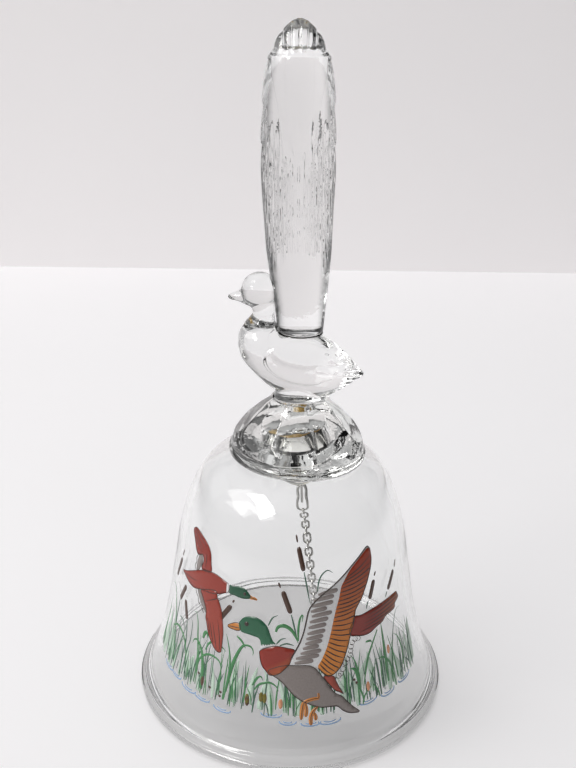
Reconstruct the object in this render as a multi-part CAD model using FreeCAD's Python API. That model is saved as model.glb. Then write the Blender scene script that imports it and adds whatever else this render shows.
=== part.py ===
"""Glass table bell with a moulded glass handle: bell, foot, duck figure and leaf plume, with a
clapper on a fine chain.

Millimetres. The origin is the centre of the bell's mouth on the plane it stands on, +Z goes up
the handle, and the duck on the handle faces -X.
"""
import FreeCAD, Part
import math
import os

from FreeCAD import Rotation, Vector

# --- Driving dimensions -------------------------------------------------------------------
MOUTH_RADIUS = 40.0            # outermost bead of the rim
BELL_HEIGHT = 67.0             # to the crown, on the outside
CROWN_WALL = 2.8

FOOT_OFFSET = 1.0              # the foot is glued a little off the bell's axis ...
FOOT_LEAN = 2.2                # ... and leans this many degrees towards +X
FOOT_RADIUS = 16.8             # flange
FLANGE_BOTTOM = 65.3
FLANGE_THICKNESS = 2.2
FOOT_TOP = 80.0
FACET_COUNT = 8
FACET_PHASE = 18.0             # degrees from the front (-Y) to the first ridge, towards +X
SOCKET_GAP = 0.3               # air between the plug's side and the foot's socket
FOOT_GLUE_RADIUS = 5.0
FOOT_GLUE_DEPTH = 1.4          # between the plug's top and the socket's ceiling

DUCK_X = 1.3                   # centre of the duck's base
# Duck's base on the foot: (height above the foot, half length, half width).
DUCK_BASE = [(0.0, 6.5, 5.6), (1.6, 5.9, 5.2), (4.0, 6.6, 5.6)]
PEG_RADIUS = 2.6               # glass peg under the duck, in a hole in the foot
PEG_LENGTH = 3.2
PEG_HOLE_RADIUS = 2.8
PEG_HOLE_DEPTH = 3.6
SEAT_TOP = 96.3                # flat ground on the duck's back for the plume
SEAT_RADIUS = 6.3

PLUME_GLUE = 0.3               # thickness of the film under the plume
TOTAL_HEIGHT = 165.6

WIRE_RADIUS = 0.275            # chain wire
RING_WIRE_RADIUS = 0.3         # wire of the two end rings and of the two eyes
EYE_RADIUS = 0.9               # centreline radius of an eye
RUNNING_GAP = 0.04             # between one link's wire and the next
LINK_COUNT = 19
LINK_PITCH = 2.0
LINK_WIDTH = 2.3               # outside
RING_WIDTH = 3.0               # outside
RING_LENGTH = 4.0              # outside
CHAIN_LEAN = 6.9               # degrees from the vertical, towards +X: the clapper stands on the table

PLUG_RADIUS = 5.8              # clear plug through the crown that holds the chain's eye
PLUG_LENGTH = 14.9
PLUG_BOTTOM = (2.1, 55.2)      # x and z of its rounded end, in line with the chain
EYE_CENTRE_DROP = 0.35         # eye's centre below the plug's end

CLAPPER_RADIUS = 4.4
CLAPPER_DROP = 6.14            # last chain pivot to the clapper's centre
COLLAR_RADIUS = 1.3
COLLAR_LENGTH = 0.9
COLLAR_ROOT = 1.0              # how far the collar goes down into the ball

# Bell outside, (radius, height) from above the rim beads to the shoulder.
BELL_OUTSIDE = [
    (37.2, 5.0), (36.0, 8.0), (34.75, 12.0), (33.2, 18.0), (31.5, 26.0), (29.9, 36.0),
    (28.2, 46.0), (26.0, 54.0), (23.0, 60.0), (19.2, 64.0), (12.0, 66.4),
]
# Bell inside, (radius, height) from the mouth to the crown's middle.
BELL_INSIDE = [
    (37.3, 0.0), (35.9, 4.0), (34.1, 8.0), (32.8, 12.0), (31.2, 18.0), (29.5, 26.0),
    (27.9, 36.0), (26.2, 46.0), (23.8, 54.0), (20.2, 60.0), (14.0, 63.2), (6.0, 64.15),
]
# Rim: foot ring, lower bead, groove, upper bead and the start of the flare.
RIM_FOOT = (38.9, 0.0)
RIM_BEAD = (MOUTH_RADIUS, 1.2)
RIM_GROOVE = (38.9, 2.4)
RIM_UPPER_BEAD = (38.95, 3.1)
RIM_FLARE = (37.9, 3.9)

# Dome of the foot above its flange, (radius, height) before the facets are cut.
DOME = [(16.2, 67.7), (15.6, 70.0), (14.0, 72.7), (11.3, 75.6), (8.2, 78.2), (6.6, 81.0)]
FACET_HEIGHT = 72.6            # height on the dome where each flat is cut
FACET_DISTANCE = 13.1          # from the axis to each flat at that height
FACET_SLOPE = 43.0             # degrees from the vertical

# Duck, side view: (x, lowest z, highest z, half width), chest to tail.
DUCK_BODY = [
    (-13.3, 92.4, 95.8, 1.6), (-12.2, 89.6, 97.8, 4.0), (-9.0, 85.9, 99.4, 5.9),
    (-5.0, 82.4, 98.8, 6.6),
    (0.0, 80.6, 97.3, 6.9), (5.0, 80.0, 96.0, 6.6), (9.0, 81.0, 93.9, 5.4), (12.5, 83.2, 90.7, 3.7),
    (15.2, 84.9, 87.8, 1.9), (16.6, 85.7, 86.4, 0.6),
]
# Neck, from the chest into the head: (z, centre x, half length, half width).
DUCK_NECK = [
    (95.0, -7.9, 5.2, 4.9), (98.5, -8.0, 3.9, 4.0), (101.2, -7.2, 2.7, 3.1), (104.0, -7.9, 3.3, 3.3),
]
HEAD_CENTRE = (-8.3, 106.6)
HEAD_RADIUS = 4.3
# Beak, from the face to the tip: (x, centre z, half height, half width).
BEAK = [
    (-11.4, 105.0, 2.0, 2.1), (-13.2, 105.1, 1.3, 1.7), (-14.8, 105.0, 0.8, 1.1),
    (-15.8, 105.0, 0.4, 0.5),
]

# Plume: (z, centre x, half width, half depth).
PLUME = [
    (SEAT_TOP + PLUME_GLUE, 1.25, 5.35, 4.7), (101.5, 1.15, 5.8, 5.0), (107.7, 0.95, 6.55, 5.5),
    (116.5, 0.6, 7.45, 6.2), (127.5, 0.3, 8.15, 6.7), (135.3, 0.2, 8.5, 6.9),
    (143.0, 0.1, 8.3, 6.8), (149.5, 0.1, 8.0, 6.5), (155.0, 0.1, 7.4, 6.0),
    (159.0, 0.1, 6.3, 5.1), (162.5, 0.1, 4.4, 3.5), (164.8, 0.1, 2.1, 1.7),
    (TOTAL_HEIGHT, 0.1, 0.5, 0.4),
]

BIG = 60.0                     # larger than any piece, for cutting tools
UP = Vector(0, 0, 1)
ORIGIN = Vector(0, 0, 0)


def at(radius, height):
    """A point of a turned outline."""
    return Vector(radius, 0, height)


def smooth(points):
    """One curve through outline points."""
    curve = Part.BSplineCurve()
    curve.interpolate([at(*p) for p in points])
    return curve.toShape()


def line(start, end):
    return Part.LineSegment(at(*start), at(*end)).toShape()


def arc(start, middle, end):
    return Part.Arc(at(*start), at(*middle), at(*end)).toShape()


def turned(edges):
    """A solid of revolution from the edges of a closed outline."""
    face = Part.Face(Part.Wire(Part.__sortEdges__(edges)))
    return face.revolve(ORIGIN, UP, 360)


def ellipse(centre, first, second):
    """An ellipse wire from its centre and its two half axes, given as vectors."""
    if first.Length < second.Length:
        first, second = second, first
    curve = Part.Ellipse(centre + first, centre + second, centre)
    return Part.Wire(curve.toShape())


def level_loft(stations):
    """A solid through level ellipses: (z, centre x, half size in x, half size in y)."""
    wires = []
    for z, x, rx, ry in stations:
        wires.append(ellipse(Vector(x, 0, z), Vector(rx, 0, 0), Vector(0, ry, 0)))
    return Part.makeLoft(wires, True)


def upright_loft(stations):
    """A solid through upright ellipses: (x, centre z, half height, half width)."""
    wires = []
    for x, z, rz, ry in stations:
        wires.append(ellipse(Vector(x, 0, z), Vector(0, 0, rz), Vector(0, ry, 0)))
    return Part.makeLoft(wires, True)


def bell_shell(plug):
    """The bell: beaded rim, flared wall and crown in one piece of glass, with a hole for the plug."""
    outer_top = (0.0, BELL_HEIGHT)
    inner_top = (0.0, BELL_HEIGHT - CROWN_WALL)
    outline = [
        line(BELL_INSIDE[0], RIM_FOOT),
        arc(RIM_FOOT, RIM_BEAD, RIM_GROOVE),
        arc(RIM_GROOVE, RIM_UPPER_BEAD, RIM_FLARE),
        smooth([RIM_FLARE] + BELL_OUTSIDE + [outer_top]),
        line(outer_top, inner_top),
        smooth(BELL_INSIDE + [inner_top]),
    ]
    return turned(outline).cut(plug)


def facet_cutter(index):
    """A block that planes one flat off the foot's dome."""
    block = Part.makeBox(BIG, BIG, BIG, Vector(-BIG / 2, -BIG, -BIG / 2))
    block.rotate(ORIGIN, Vector(1, 0, 0), -FACET_SLOPE)
    block.translate(Vector(0, -FACET_DISTANCE, FACET_HEIGHT))
    middle = FACET_PHASE + 180.0 / FACET_COUNT + index * 360.0 / FACET_COUNT
    block.rotate(ORIGIN, UP, middle)
    return block


def on_plug(radius, bottom, length):
    """A cylinder on the plug's line, whose bottom is a given distance above the plug's end."""
    foot = Vector(0, 0, bottom + EYE_CENTRE_DROP + EYE_RADIUS)
    return chain_frame(Part.makeCylinder(radius, length, foot))


def clapper_plug(eye_shape):
    """Clear round-ended plug through the crown, with the chain's eye set in its lower end."""
    end = Part.makeSphere(PLUG_RADIUS, Vector(0, 0, PLUG_RADIUS + EYE_CENTRE_DROP + EYE_RADIUS))
    shank = on_plug(PLUG_RADIUS, PLUG_RADIUS, PLUG_LENGTH - PLUG_RADIUS)
    return largest(chain_frame(end).fuse(shank).removeSplitter().cut(eye_shape))


def foot_glue():
    """Disc of yellowed adhesive between the plug's top and the ceiling of the foot's socket."""
    return on_plug(FOOT_GLUE_RADIUS, PLUG_LENGTH, FOOT_GLUE_DEPTH)


def pedestal_foot(bell):
    """The solid glass foot: a round flange, a dome with eight flats and a socket below."""
    flange_top = FLANGE_BOTTOM + FLANGE_THICKNESS
    roll = FLANGE_THICKNESS / 2
    shoulder = FOOT_RADIUS - roll
    neck = DOME[-1]
    rim = turned([
        line((0.0, FLANGE_BOTTOM), (shoulder, FLANGE_BOTTOM)),
        arc((shoulder, FLANGE_BOTTOM), (FOOT_RADIUS, FLANGE_BOTTOM + roll), (shoulder, flange_top)),
        line((shoulder, flange_top), (0.0, flange_top)),
        line((0.0, flange_top), (0.0, FLANGE_BOTTOM)),
    ])
    base = (DOME[0][0], flange_top - roll)
    dome = turned([
        line((0.0, base[1]), base),
        line(base, DOME[0]),
        smooth(DOME),
        line(neck, (0.0, neck[1])),
        line((0.0, neck[1]), (0.0, base[1])),
    ])
    for index in range(FACET_COUNT):
        dome = dome.cut(facet_cutter(index))
    foot = rim.fuse(dome).removeSplitter()
    foot.rotate(Vector(0, 0, BELL_HEIGHT), Vector(0, 1, 0), FOOT_LEAN)
    foot.translate(Vector(FOOT_OFFSET, 0, 0))
    above = Part.makeBox(BIG, BIG, BIG, Vector(-BIG / 2, -BIG / 2, FOOT_TOP))
    socket = on_plug(PLUG_RADIUS + SOCKET_GAP, 0.0, PLUG_LENGTH + FOOT_GLUE_DEPTH)
    return largest(foot.cut(above).cut(socket).cut(peg_hole()).cut(bell))


def largest(shape):
    """The largest solid of a shape, which drops the crumbs that a cut leaves."""
    return max(shape.Solids, key=lambda solid: solid.Volume)


def duck_peg():
    return Part.makeCylinder(PEG_RADIUS, PEG_LENGTH, Vector(DUCK_X, 0, FOOT_TOP - PEG_LENGTH))


def peg_hole():
    """The hole in the foot's top for the peg."""
    floor = Vector(DUCK_X, 0, FOOT_TOP - PEG_HOLE_DEPTH)
    return Part.makeCylinder(PEG_HOLE_RADIUS, PEG_HOLE_DEPTH, floor)


def duck_glue():
    """Clear adhesive in the peg hole, around and under the peg."""
    return peg_hole().cut(duck_peg())


def duck_figure():
    """The moulded glass duck: body and tail, neck, head, beak, base and peg in one piece."""
    stations = [(x, (low + high) / 2, (high - low) / 2, width) for x, low, high, width in DUCK_BODY]
    body = upright_loft(stations)
    neck = level_loft(DUCK_NECK)
    head = Part.makeSphere(HEAD_RADIUS, Vector(HEAD_CENTRE[0], 0, HEAD_CENTRE[1]))
    beak = upright_loft(BEAK)
    base = level_loft([(FOOT_TOP + height, DUCK_X, rx, ry) for height, rx, ry in DUCK_BASE])
    duck = body
    for piece in (neck, head, beak, base):
        duck = duck.fuse(piece)
    below = Part.makeBox(BIG, BIG, BIG, Vector(-BIG / 2, -BIG / 2, FOOT_TOP - BIG))
    seat = Part.makeCylinder(SEAT_RADIUS, BIG, Vector(DUCK_X, 0, SEAT_TOP))
    behind = Part.makeBox(BIG, BIG, BIG, Vector(DUCK_X, -BIG / 2, SEAT_TOP))
    duck = duck.cut(below).cut(seat).cut(behind).cut(plume_handle())
    return largest(duck.fuse(duck_peg()).removeSplitter())


def plume_glue():
    """Film of clear adhesive between the duck's back and the plume."""
    _, x, half_width, half_depth = PLUME[0]
    wire = ellipse(Vector(x, 0, SEAT_TOP), Vector(half_width, 0, 0), Vector(0, half_depth, 0))
    return Part.Face(wire).extrude(Vector(0, 0, PLUME_GLUE))


def plume_handle():
    """The tall leaf plume that is the handle's grip."""
    return level_loft(PLUME)


def eye(centre, normal):
    """A closed wire eye."""
    return Part.makeTorus(EYE_RADIUS, RING_WIRE_RADIUS, centre, normal)


def link(top, wire_radius, length, width, facing_front):
    """An upright oval link whose top bow's wire is centred at height top on the chain's line.

    length and width are centreline sizes. The link lies in the XZ plane if it faces the front,
    and otherwise in the YZ plane.
    """
    bow = width / 2
    side = Vector(1, 0, 0) if facing_front else Vector(0, 1, 0)
    upper = Vector(0, 0, top - bow)
    lower = Vector(0, 0, top - length + bow)
    path = Part.Wire([
        Part.LineSegment(lower + side * bow, upper + side * bow).toShape(),
        Part.Arc(upper + side * bow, upper + UP * bow, upper - side * bow).toShape(),
        Part.LineSegment(upper - side * bow, lower - side * bow).toShape(),
        Part.Arc(lower - side * bow, lower - UP * bow, lower + side * bow).toShape(),
    ])
    section = Part.Wire(Part.Circle(lower + side * bow, UP, wire_radius).toShape())
    return path.makePipeShell([section], True, False)


def chain_frame(shape):
    """Puts a shape made about a plumb line on the leaning line of the plug and the chain.

    The origin goes to the chain's first pivot, the middle of the wire at the eye's lowest point.
    """
    lean = Rotation(Vector(0, 1, 0), -CHAIN_LEAN)
    end = Vector(PLUG_BOTTOM[0], 0, PLUG_BOTTOM[1])
    pivot = end - lean.multVec(Vector(0, 0, EYE_CENTRE_DROP + EYE_RADIUS))
    return shape.transformed(FreeCAD.Placement(pivot, lean).toMatrix())


def chain_and_clapper():
    """The end rings, the links, and the clapper with its eye, by node name."""
    pieces = {}
    link_length = LINK_PITCH + 2 * WIRE_RADIUS + RUNNING_GAP
    link_width = LINK_WIDTH - 2 * WIRE_RADIUS
    ring_length = RING_LENGTH - 2 * RING_WIRE_RADIUS
    ring_width = RING_WIDTH - 2 * RING_WIRE_RADIUS
    plan = [("top_ring", RING_WIRE_RADIUS, ring_length, ring_width)]
    for number in range(1, LINK_COUNT + 1):
        plan.append((f"chain_link_{number:02d}", WIRE_RADIUS, link_length, link_width))
    plan.append(("bottom_ring", RING_WIRE_RADIUS, ring_length, ring_width))
    pivot, held_by, facing_front = 0.0, RING_WIRE_RADIUS, True
    for name, wire, length, width in plan:
        top = pivot + held_by + wire + RUNNING_GAP
        pieces[name] = chain_frame(link(top, wire, length, width, facing_front))
        pivot, held_by, facing_front = top - length, wire, not facing_front
    top = pivot + held_by + RING_WIRE_RADIUS + RUNNING_GAP
    normal = Vector(0, 1, 0) if facing_front else Vector(1, 0, 0)
    clapper_eye = eye(Vector(0, 0, top - EYE_RADIUS), normal)
    ball_centre = pivot - CLAPPER_DROP
    ball = Part.makeSphere(CLAPPER_RADIUS, Vector(0, 0, ball_centre))
    root = Vector(0, 0, ball_centre + CLAPPER_RADIUS - COLLAR_ROOT)
    collar = Part.makeCylinder(COLLAR_RADIUS, COLLAR_LENGTH + COLLAR_ROOT, root)
    pieces["clapper_eye"] = chain_frame(clapper_eye)
    pieces["clapper"] = chain_frame(ball.fuse(collar).removeSplitter().cut(clapper_eye))
    return pieces


def main():
    anchor_eye = chain_frame(eye(Vector(0, 0, EYE_RADIUS), Vector(1, 0, 0)))
    plug = clapper_plug(anchor_eye)
    bell = bell_shell(plug)
    pieces = {
        "bell_shell": bell,
        "pedestal_foot": pedestal_foot(bell),
        "foot_glue": foot_glue(),
        "duck_figure": duck_figure(),
        "duck_glue": duck_glue(),
        "plume_glue": plume_glue(),
        "plume_handle": plume_handle(),
        "clapper_plug": plug,
        "anchor_eye": anchor_eye,
    }
    pieces.update(chain_and_clapper())
    os.makedirs("parts", exist_ok=True)
    for name, shape in pieces.items():
        print(f"{name:16s} valid {shape.isValid()}  solids {len(shape.Solids)}  volume {shape.Volume:.2f}")
        shape.exportStep(f"parts/{name}.step")


main()
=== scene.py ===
"""Looks of the glass hand bell: clear glass, fired enamel picture, nickel chain and ball.

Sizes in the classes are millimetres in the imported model's frame: the origin is the centre of the
bell's mouth, +Z goes up the handle, the duck on the handle faces -X and the picture faces -Y.
"""
import logging
import math
import random
from dataclasses import dataclass, field
from enum import Enum
from typing import Any, Callable, Sequence, Union

import bmesh
import bpy
from mathutils import Matrix, Vector
from mathutils.geometry import delaunay_2d_cdt


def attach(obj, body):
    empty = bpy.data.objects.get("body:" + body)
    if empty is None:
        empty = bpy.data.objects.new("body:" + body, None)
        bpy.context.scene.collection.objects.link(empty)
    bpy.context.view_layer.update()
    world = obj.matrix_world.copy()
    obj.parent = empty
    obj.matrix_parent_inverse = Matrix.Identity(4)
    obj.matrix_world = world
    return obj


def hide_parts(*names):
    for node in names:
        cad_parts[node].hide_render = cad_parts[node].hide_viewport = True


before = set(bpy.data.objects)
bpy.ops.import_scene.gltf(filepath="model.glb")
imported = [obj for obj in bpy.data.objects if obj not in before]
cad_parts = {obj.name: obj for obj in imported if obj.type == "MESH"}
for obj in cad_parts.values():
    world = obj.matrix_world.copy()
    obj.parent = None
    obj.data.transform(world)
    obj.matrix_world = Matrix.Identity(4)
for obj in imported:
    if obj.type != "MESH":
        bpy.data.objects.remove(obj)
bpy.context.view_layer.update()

LOG = logging.getLogger("glass_bell")
MM = 0.001
BELL = "bell"

Point = tuple[float, float]
Point3 = tuple[float, float, float]
Colour = tuple[float, float, float]
MATERIALS: dict[str, bpy.types.Material] = {}


# --- Shader building ------------------------------------------------------------------------


class Wire:
    """A shader value that takes part in Python sums: an expression adds its Math nodes."""

    def __init__(self, paint: "Paint", socket: bpy.types.NodeSocket) -> None:
        """Wraps one output socket.

        Args:
            paint: the material being built.
            socket: the output that carries the value.
        """
        self.paint = paint
        self.socket = socket

    def maths(self, operation: str, first: Any, second: Any) -> "Wire":
        """One Math node.

        Args:
            operation: the node's operation.
            first: its first input, a wire or a number.
            second: its second input, a wire or a number.

        Returns:
            The node's output.
        """
        return self.paint.node("ShaderNodeMath", {"operation": operation}, {0: first, 1: second})

    def __add__(self, other: Any) -> "Wire":
        """self + other."""
        return self.maths("ADD", self, other)

    def __radd__(self, other: Any) -> "Wire":
        """other + self."""
        return self.maths("ADD", other, self)

    def __sub__(self, other: Any) -> "Wire":
        """self - other."""
        return self.maths("SUBTRACT", self, other)

    def __rsub__(self, other: Any) -> "Wire":
        """other - self."""
        return self.maths("SUBTRACT", other, self)

    def __mul__(self, other: Any) -> "Wire":
        """self * other."""
        return self.maths("MULTIPLY", self, other)

    def __rmul__(self, other: Any) -> "Wire":
        """other * self."""
        return self.maths("MULTIPLY", other, self)


class Paint:
    """One procedural material under construction."""

    def __init__(self, name: str) -> None:
        """Starts a material with a Principled shader on its output.

        Args:
            name: the material's name.
        """
        self.material = bpy.data.materials.new(name)
        self.material.use_nodes = True
        self.tree = self.material.node_tree
        self.tree.nodes.clear()
        self.shader = self.tree.nodes.new("ShaderNodeBsdfPrincipled")
        output = self.tree.nodes.new("ShaderNodeOutputMaterial")
        self.tree.links.new(self.shader.outputs[0], output.inputs["Surface"])

    def feed(self, socket: bpy.types.NodeSocket, value: Any) -> None:
        """Links a wire to a socket, or sets the socket's own number, vector or colour.

        Args:
            socket: the input to feed.
            value: a wire, a number or a tuple.
        """
        if isinstance(value, Wire):
            self.tree.links.new(value.socket, socket)
        else:
            socket.default_value = value

    def node(self, kind: str, settings: dict[str, Any], inputs: dict[Any, Any], output: Any = 0) -> Wire:
        """Adds any node.

        Args:
            kind: the node's type name.
            settings: properties, set first; "stops" is a ramp's list of (place, colour).
            inputs: values or wires by socket name or number.
            output: the output to return.

        Returns:
            That output as a wire.
        """
        node = self.tree.nodes.new(kind)
        for key, value in settings.items():
            if key == "stops":
                ramp = node.color_ramp.elements
                while len(ramp) < len(value):
                    ramp.new(0.5)
                for element, (place, colour) in zip(ramp, value):
                    element.position = place
                    element.color = (*colour, 1.0)
            else:
                setattr(node, key, value)
        for key, value in inputs.items():
            self.feed(node.inputs[key], value)
        return Wire(self, node.outputs[output])

    def place(self) -> Wire:
        """The point's place in the object's own space, in metres."""
        return self.node("ShaderNodeTexCoord", {}, {}, "Object")

    def noise(self, scale: float, detail: float = 3.0, stretch: Sequence[float] = (1, 1, 1)) -> Wire:
        """Noise in the object's own space.

        Args:
            scale: features per metre.
            detail: octaves.
            stretch: scale factors along x, y and z.

        Returns:
            A value from 0 to 1.
        """
        spread = self.node("ShaderNodeMapping", {}, {"Vector": self.place(), "Scale": tuple(stretch)})
        return self.node("ShaderNodeTexNoise", {}, {"Vector": spread, "Scale": scale, "Detail": detail})

    def mix(self, share: Any, first: Any, second: Any) -> Wire:
        """A colour between two others.

        Args:
            share: 0 for the first, 1 for the second.
            first: a colour or a wire.
            second: a colour or a wire.

        Returns:
            The mixed colour.
        """
        ends = [c if isinstance(c, Wire) else (*c, 1.0) for c in (first, second)]
        return self.node("ShaderNodeMix", {"data_type": "RGBA"}, {0: share, 6: ends[0], 7: ends[1]}, 2)

    def bump(self, height: Wire, distance: float) -> None:
        """Feeds a relief of a given depth in metres to the shader's Normal."""
        self.feed(self.shader.inputs["Normal"],
                  self.node("ShaderNodeBump", {}, {"Height": height, "Distance": distance}))

    def set(self, **values: Any) -> None:
        """Sets Principled inputs, with underscores for the spaces in their names."""
        for key, value in values.items():
            self.feed(self.shader.inputs[key.replace("_", " ")], value)


# --- Finishes -------------------------------------------------------------------------------


@dataclass(frozen=True)
class Glass:
    """Clear glass, resin or adhesive.

    The tint is the colour one surface passes on; ripple is the depth of the pressed or poured
    surface's waves in metres, and ripple_scale how many there are in a metre.
    """

    name: str
    slot: str
    tint: Colour
    roughness: float
    ripple: float
    ripple_scale: float
    ior: float = 1.5
    second_tint: Union[Colour, None] = None
    shades: bool = False
    clear: float = 1.0

    def material(self) -> bpy.types.Material:
        """Builds the finish, with faint handling marks in its gloss."""
        paint = Paint(self.name)
        paint.set(Transmission_Weight=self.clear, IOR=self.ior)
        wear = paint.noise(700.0, 3.0)
        other = self.second_tint or tuple(min(1.0, c * 1.012) for c in self.tint)
        paint.set(Base_Color=paint.mix(wear, self.tint, other))
        paint.set(Roughness=wear * self.roughness + self.roughness * 0.4)
        paint.bump(paint.noise(self.ripple_scale, 2.0), self.ripple)
        return paint.material


@dataclass(frozen=True)
class Nickel:
    """Bright plated wire or ball, a little dulled."""

    name: str
    slot: str
    colour: Colour = (0.66, 0.65, 0.63)
    roughness: float = 0.2

    def material(self) -> bpy.types.Material:
        """Builds the finish, with dull patches and fine drawing marks."""
        paint = Paint(self.name)
        dull = paint.noise(1500.0, 4.0)
        dark = tuple(c * 0.72 for c in self.colour)
        paint.set(Metallic=1.0, Base_Color=paint.mix(dull, dark, self.colour))
        paint.set(Roughness=dull * 0.16 + self.roughness)
        paint.bump(paint.noise(9000.0, 2.0), 0.000006)
        return paint.material


@dataclass(frozen=True)
class Enamel:
    """Fired enamel print: a colour that may run to a second one along a direction.

    along is (x, z) weights, and span the values of x*along[0] + z*along[1], in millimetres,
    between which the first colour runs to the second.
    """

    name: str
    first: Colour
    second: Union[Colour, None] = None
    along: Point = (0.0, 1.0)
    span: Point = (0.0, 50.0)
    slot: str = "fired_enamel"

    def material(self) -> bpy.types.Material:
        """Builds the finish, mottled as a screen print is, and glossy from its firing."""
        paint = Paint(self.name)
        grain = paint.noise(2600.0, 3.0)
        base: Any = self.first
        if self.second:
            place = paint.place()
            x = paint.node("ShaderNodeSeparateXYZ", {}, {0: place}, 0)
            z = paint.node("ShaderNodeSeparateXYZ", {}, {0: place}, 2)
            low, high = (value * MM for value in self.span)
            share = (x * self.along[0] + z
                     * self.along[1] - low) * (1 / (high - low)) + (grain - 0.5) * 0.25
            base = paint.node("ShaderNodeValToRGB", {"stops": [(0.0, self.first), (1.0, self.second)]},
                              {0: share})
        shade = paint.node("ShaderNodeValToRGB", {"stops": [(0.3, (0.86, 0.86, 0.86)), (0.7, (1, 1, 1))]},
                           {0: grain})
        worn = paint.node("ShaderNodeMix", {"data_type": "RGBA", "blend_type": "MULTIPLY"},
                          {0: 1.0, 6: base if isinstance(base, Wire) else (*base, 1.0), 7: shade}, 2)
        paint.set(Base_Color=worn, Roughness=grain * 0.2 + 0.22)
        paint.bump(grain, 0.000008)
        return paint.material


BELL_GLASS = Glass("shell_clear_glass", "bell_glass", (0.982, 0.988, 0.986), 0.004, 0.00002, 90.0)
MOULDED_GLASS = Glass("moulded_clear_glass", "moulded_glass", (0.982, 0.986, 0.982), 0.004, 0.00006, 420.0,
                      shades=True)
FOOT_GLASS = Glass("foot_clear_glass", "moulded_glass", (0.975, 0.98, 0.962), 0.004, 0.00006, 420.0)
CLEAR_RESIN = Glass("plug_clear_resin", "clear_resin", (0.965, 0.96, 0.93), 0.03, 0.00003, 400.0, 1.49)
CLEAR_ADHESIVE = Glass("clear_glue_film", "clear_adhesive", (0.97, 0.97, 0.95), 0.05, 0.00004, 900.0, 1.47)
AGED_ADHESIVE = Glass("yellowed_glue", "aged_adhesive", (0.95, 0.74, 0.22), 0.3, 0.00008, 700.0, 1.47,
                      (0.86, 0.50, 0.06), clear=0.45)
NICKEL_WIRE = Nickel("bright_nickel_wire", "nickel_wire")
NICKEL_BALL = Nickel("bright_nickel_ball", "nickel_ball", (0.70, 0.69, 0.67), 0.14)


# --- Outlines and meshes --------------------------------------------------------------------


def spline(points: Sequence[Sequence[float]], steps: int = 8,
           closed: bool = False) -> list[tuple[float, ...]]:
    """A smooth line through points (Catmull-Rom).

    Args:
        points: the points to pass through, of any dimension.
        steps: pieces per span.
        closed: True if the line returns to its start.

    Returns:
        The line's points; the start isn't repeated at the end of a closed line.
    """
    points = [tuple(p) for p in points]
    if closed:
        padded = [points[-1], *points, points[0], points[1]]
    else:
        first = tuple(2 * a - b for a, b in zip(points[0], points[1]))
        last = tuple(2 * a - b for a, b in zip(points[-1], points[-2]))
        padded = [first, *points, last]
    out = []
    for i in range(1, len(padded) - 2):
        window = padded[i - 1:i + 3]
        for k in range(steps):
            t = k / steps
            out.append(tuple(
                0.5 * (2 * b + (c - a) * t + (2 * a - 5 * b + 4 * c - d) * t * t
                       + (3 * b - a - 3 * c + d) * t ** 3)
                for a, b, c, d in zip(*window)))
    return out if closed else out + [points[-1]]


def arc(centre: Point, radius: float, start: float, end: float, steps: int) -> list[Point]:
    """Points on an arc, its angles in degrees from the outline's first axis."""
    turns = [math.radians(start + (end - start) * k / steps) for k in range(steps + 1)]
    return [(centre[0] + radius * math.cos(a), centre[1] + radius * math.sin(a)) for a in turns]


def smoothstep(value: float) -> float:
    """0 below 0, 1 above 1 and a smooth rise between."""
    t = min(1.0, max(0.0, value))
    return t * t * (3 - 2 * t)


def between(table: Sequence[Point], place: float) -> float:
    """Linear look-up in a table of (place, value) in rising places."""
    if place <= table[0][0]:
        return table[0][1]
    for (p0, v0), (p1, v1) in zip(table, table[1:]):
        if place <= p1:
            return v0 + (v1 - v0) * (place - p0) / (p1 - p0)
    return table[-1][1]


def make_object(name: str, vertices: Sequence[Sequence[float]],
                faces: Sequence[Sequence[int]]) -> bpy.types.Object:
    """A smooth-shaded mesh object with its faces turned outwards.

    Args:
        name: its name.
        vertices: places in millimetres.
        faces: vertex numbers.

    Returns:
        The object, linked to the scene.
    """
    mesh = bpy.data.meshes.new(name)
    mesh.from_pydata([Vector(v) * MM for v in vertices], [], list(faces))
    made = bpy.data.objects.new(name, mesh)
    bpy.context.scene.collection.objects.link(made)
    work = bmesh.new()
    work.from_mesh(mesh)
    bmesh.ops.recalc_face_normals(work, faces=work.faces)
    for face in work.faces:
        face.smooth = True
    work.to_mesh(mesh)
    work.free()
    return made


def turned(name: str, outline: Sequence[Vector], place: Callable[[int, float], Vector], around: int,
           closed: bool) -> bpy.types.Object:
    """A solid swept round an axis.

    Args:
        name: the object's name.
        outline: the section; only its length is used here.
        place: gives the point for an outline number and an angle.
        around: segments.
        closed: True for a section that is a loop; otherwise its two ends are on the axis.

    Returns:
        The object.
    """
    count = len(outline)
    first, last = (0, count) if closed else (1, count - 1)
    size = last - first
    vertices, faces = [], []
    for k in range(around):
        vertices += [place(i, 2 * math.pi * k / around) for i in range(first, last)]
    for k in range(around):
        here, there = k * size, (k + 1) % around * size
        for i in range(size if closed else size - 1):
            j = (i + 1) % size
            faces.append((here + i, there + i, there + j, here + j))
    if not closed:
        for end, row in ((0, 0), (count - 1, size - 1)):
            vertices.append(place(end, 0.0))
            pole = len(vertices) - 1
            faces += [(k * size + row, (k + 1) % around * size + row, pole) for k in range(around)]
    return make_object(name, vertices, faces)


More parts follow.
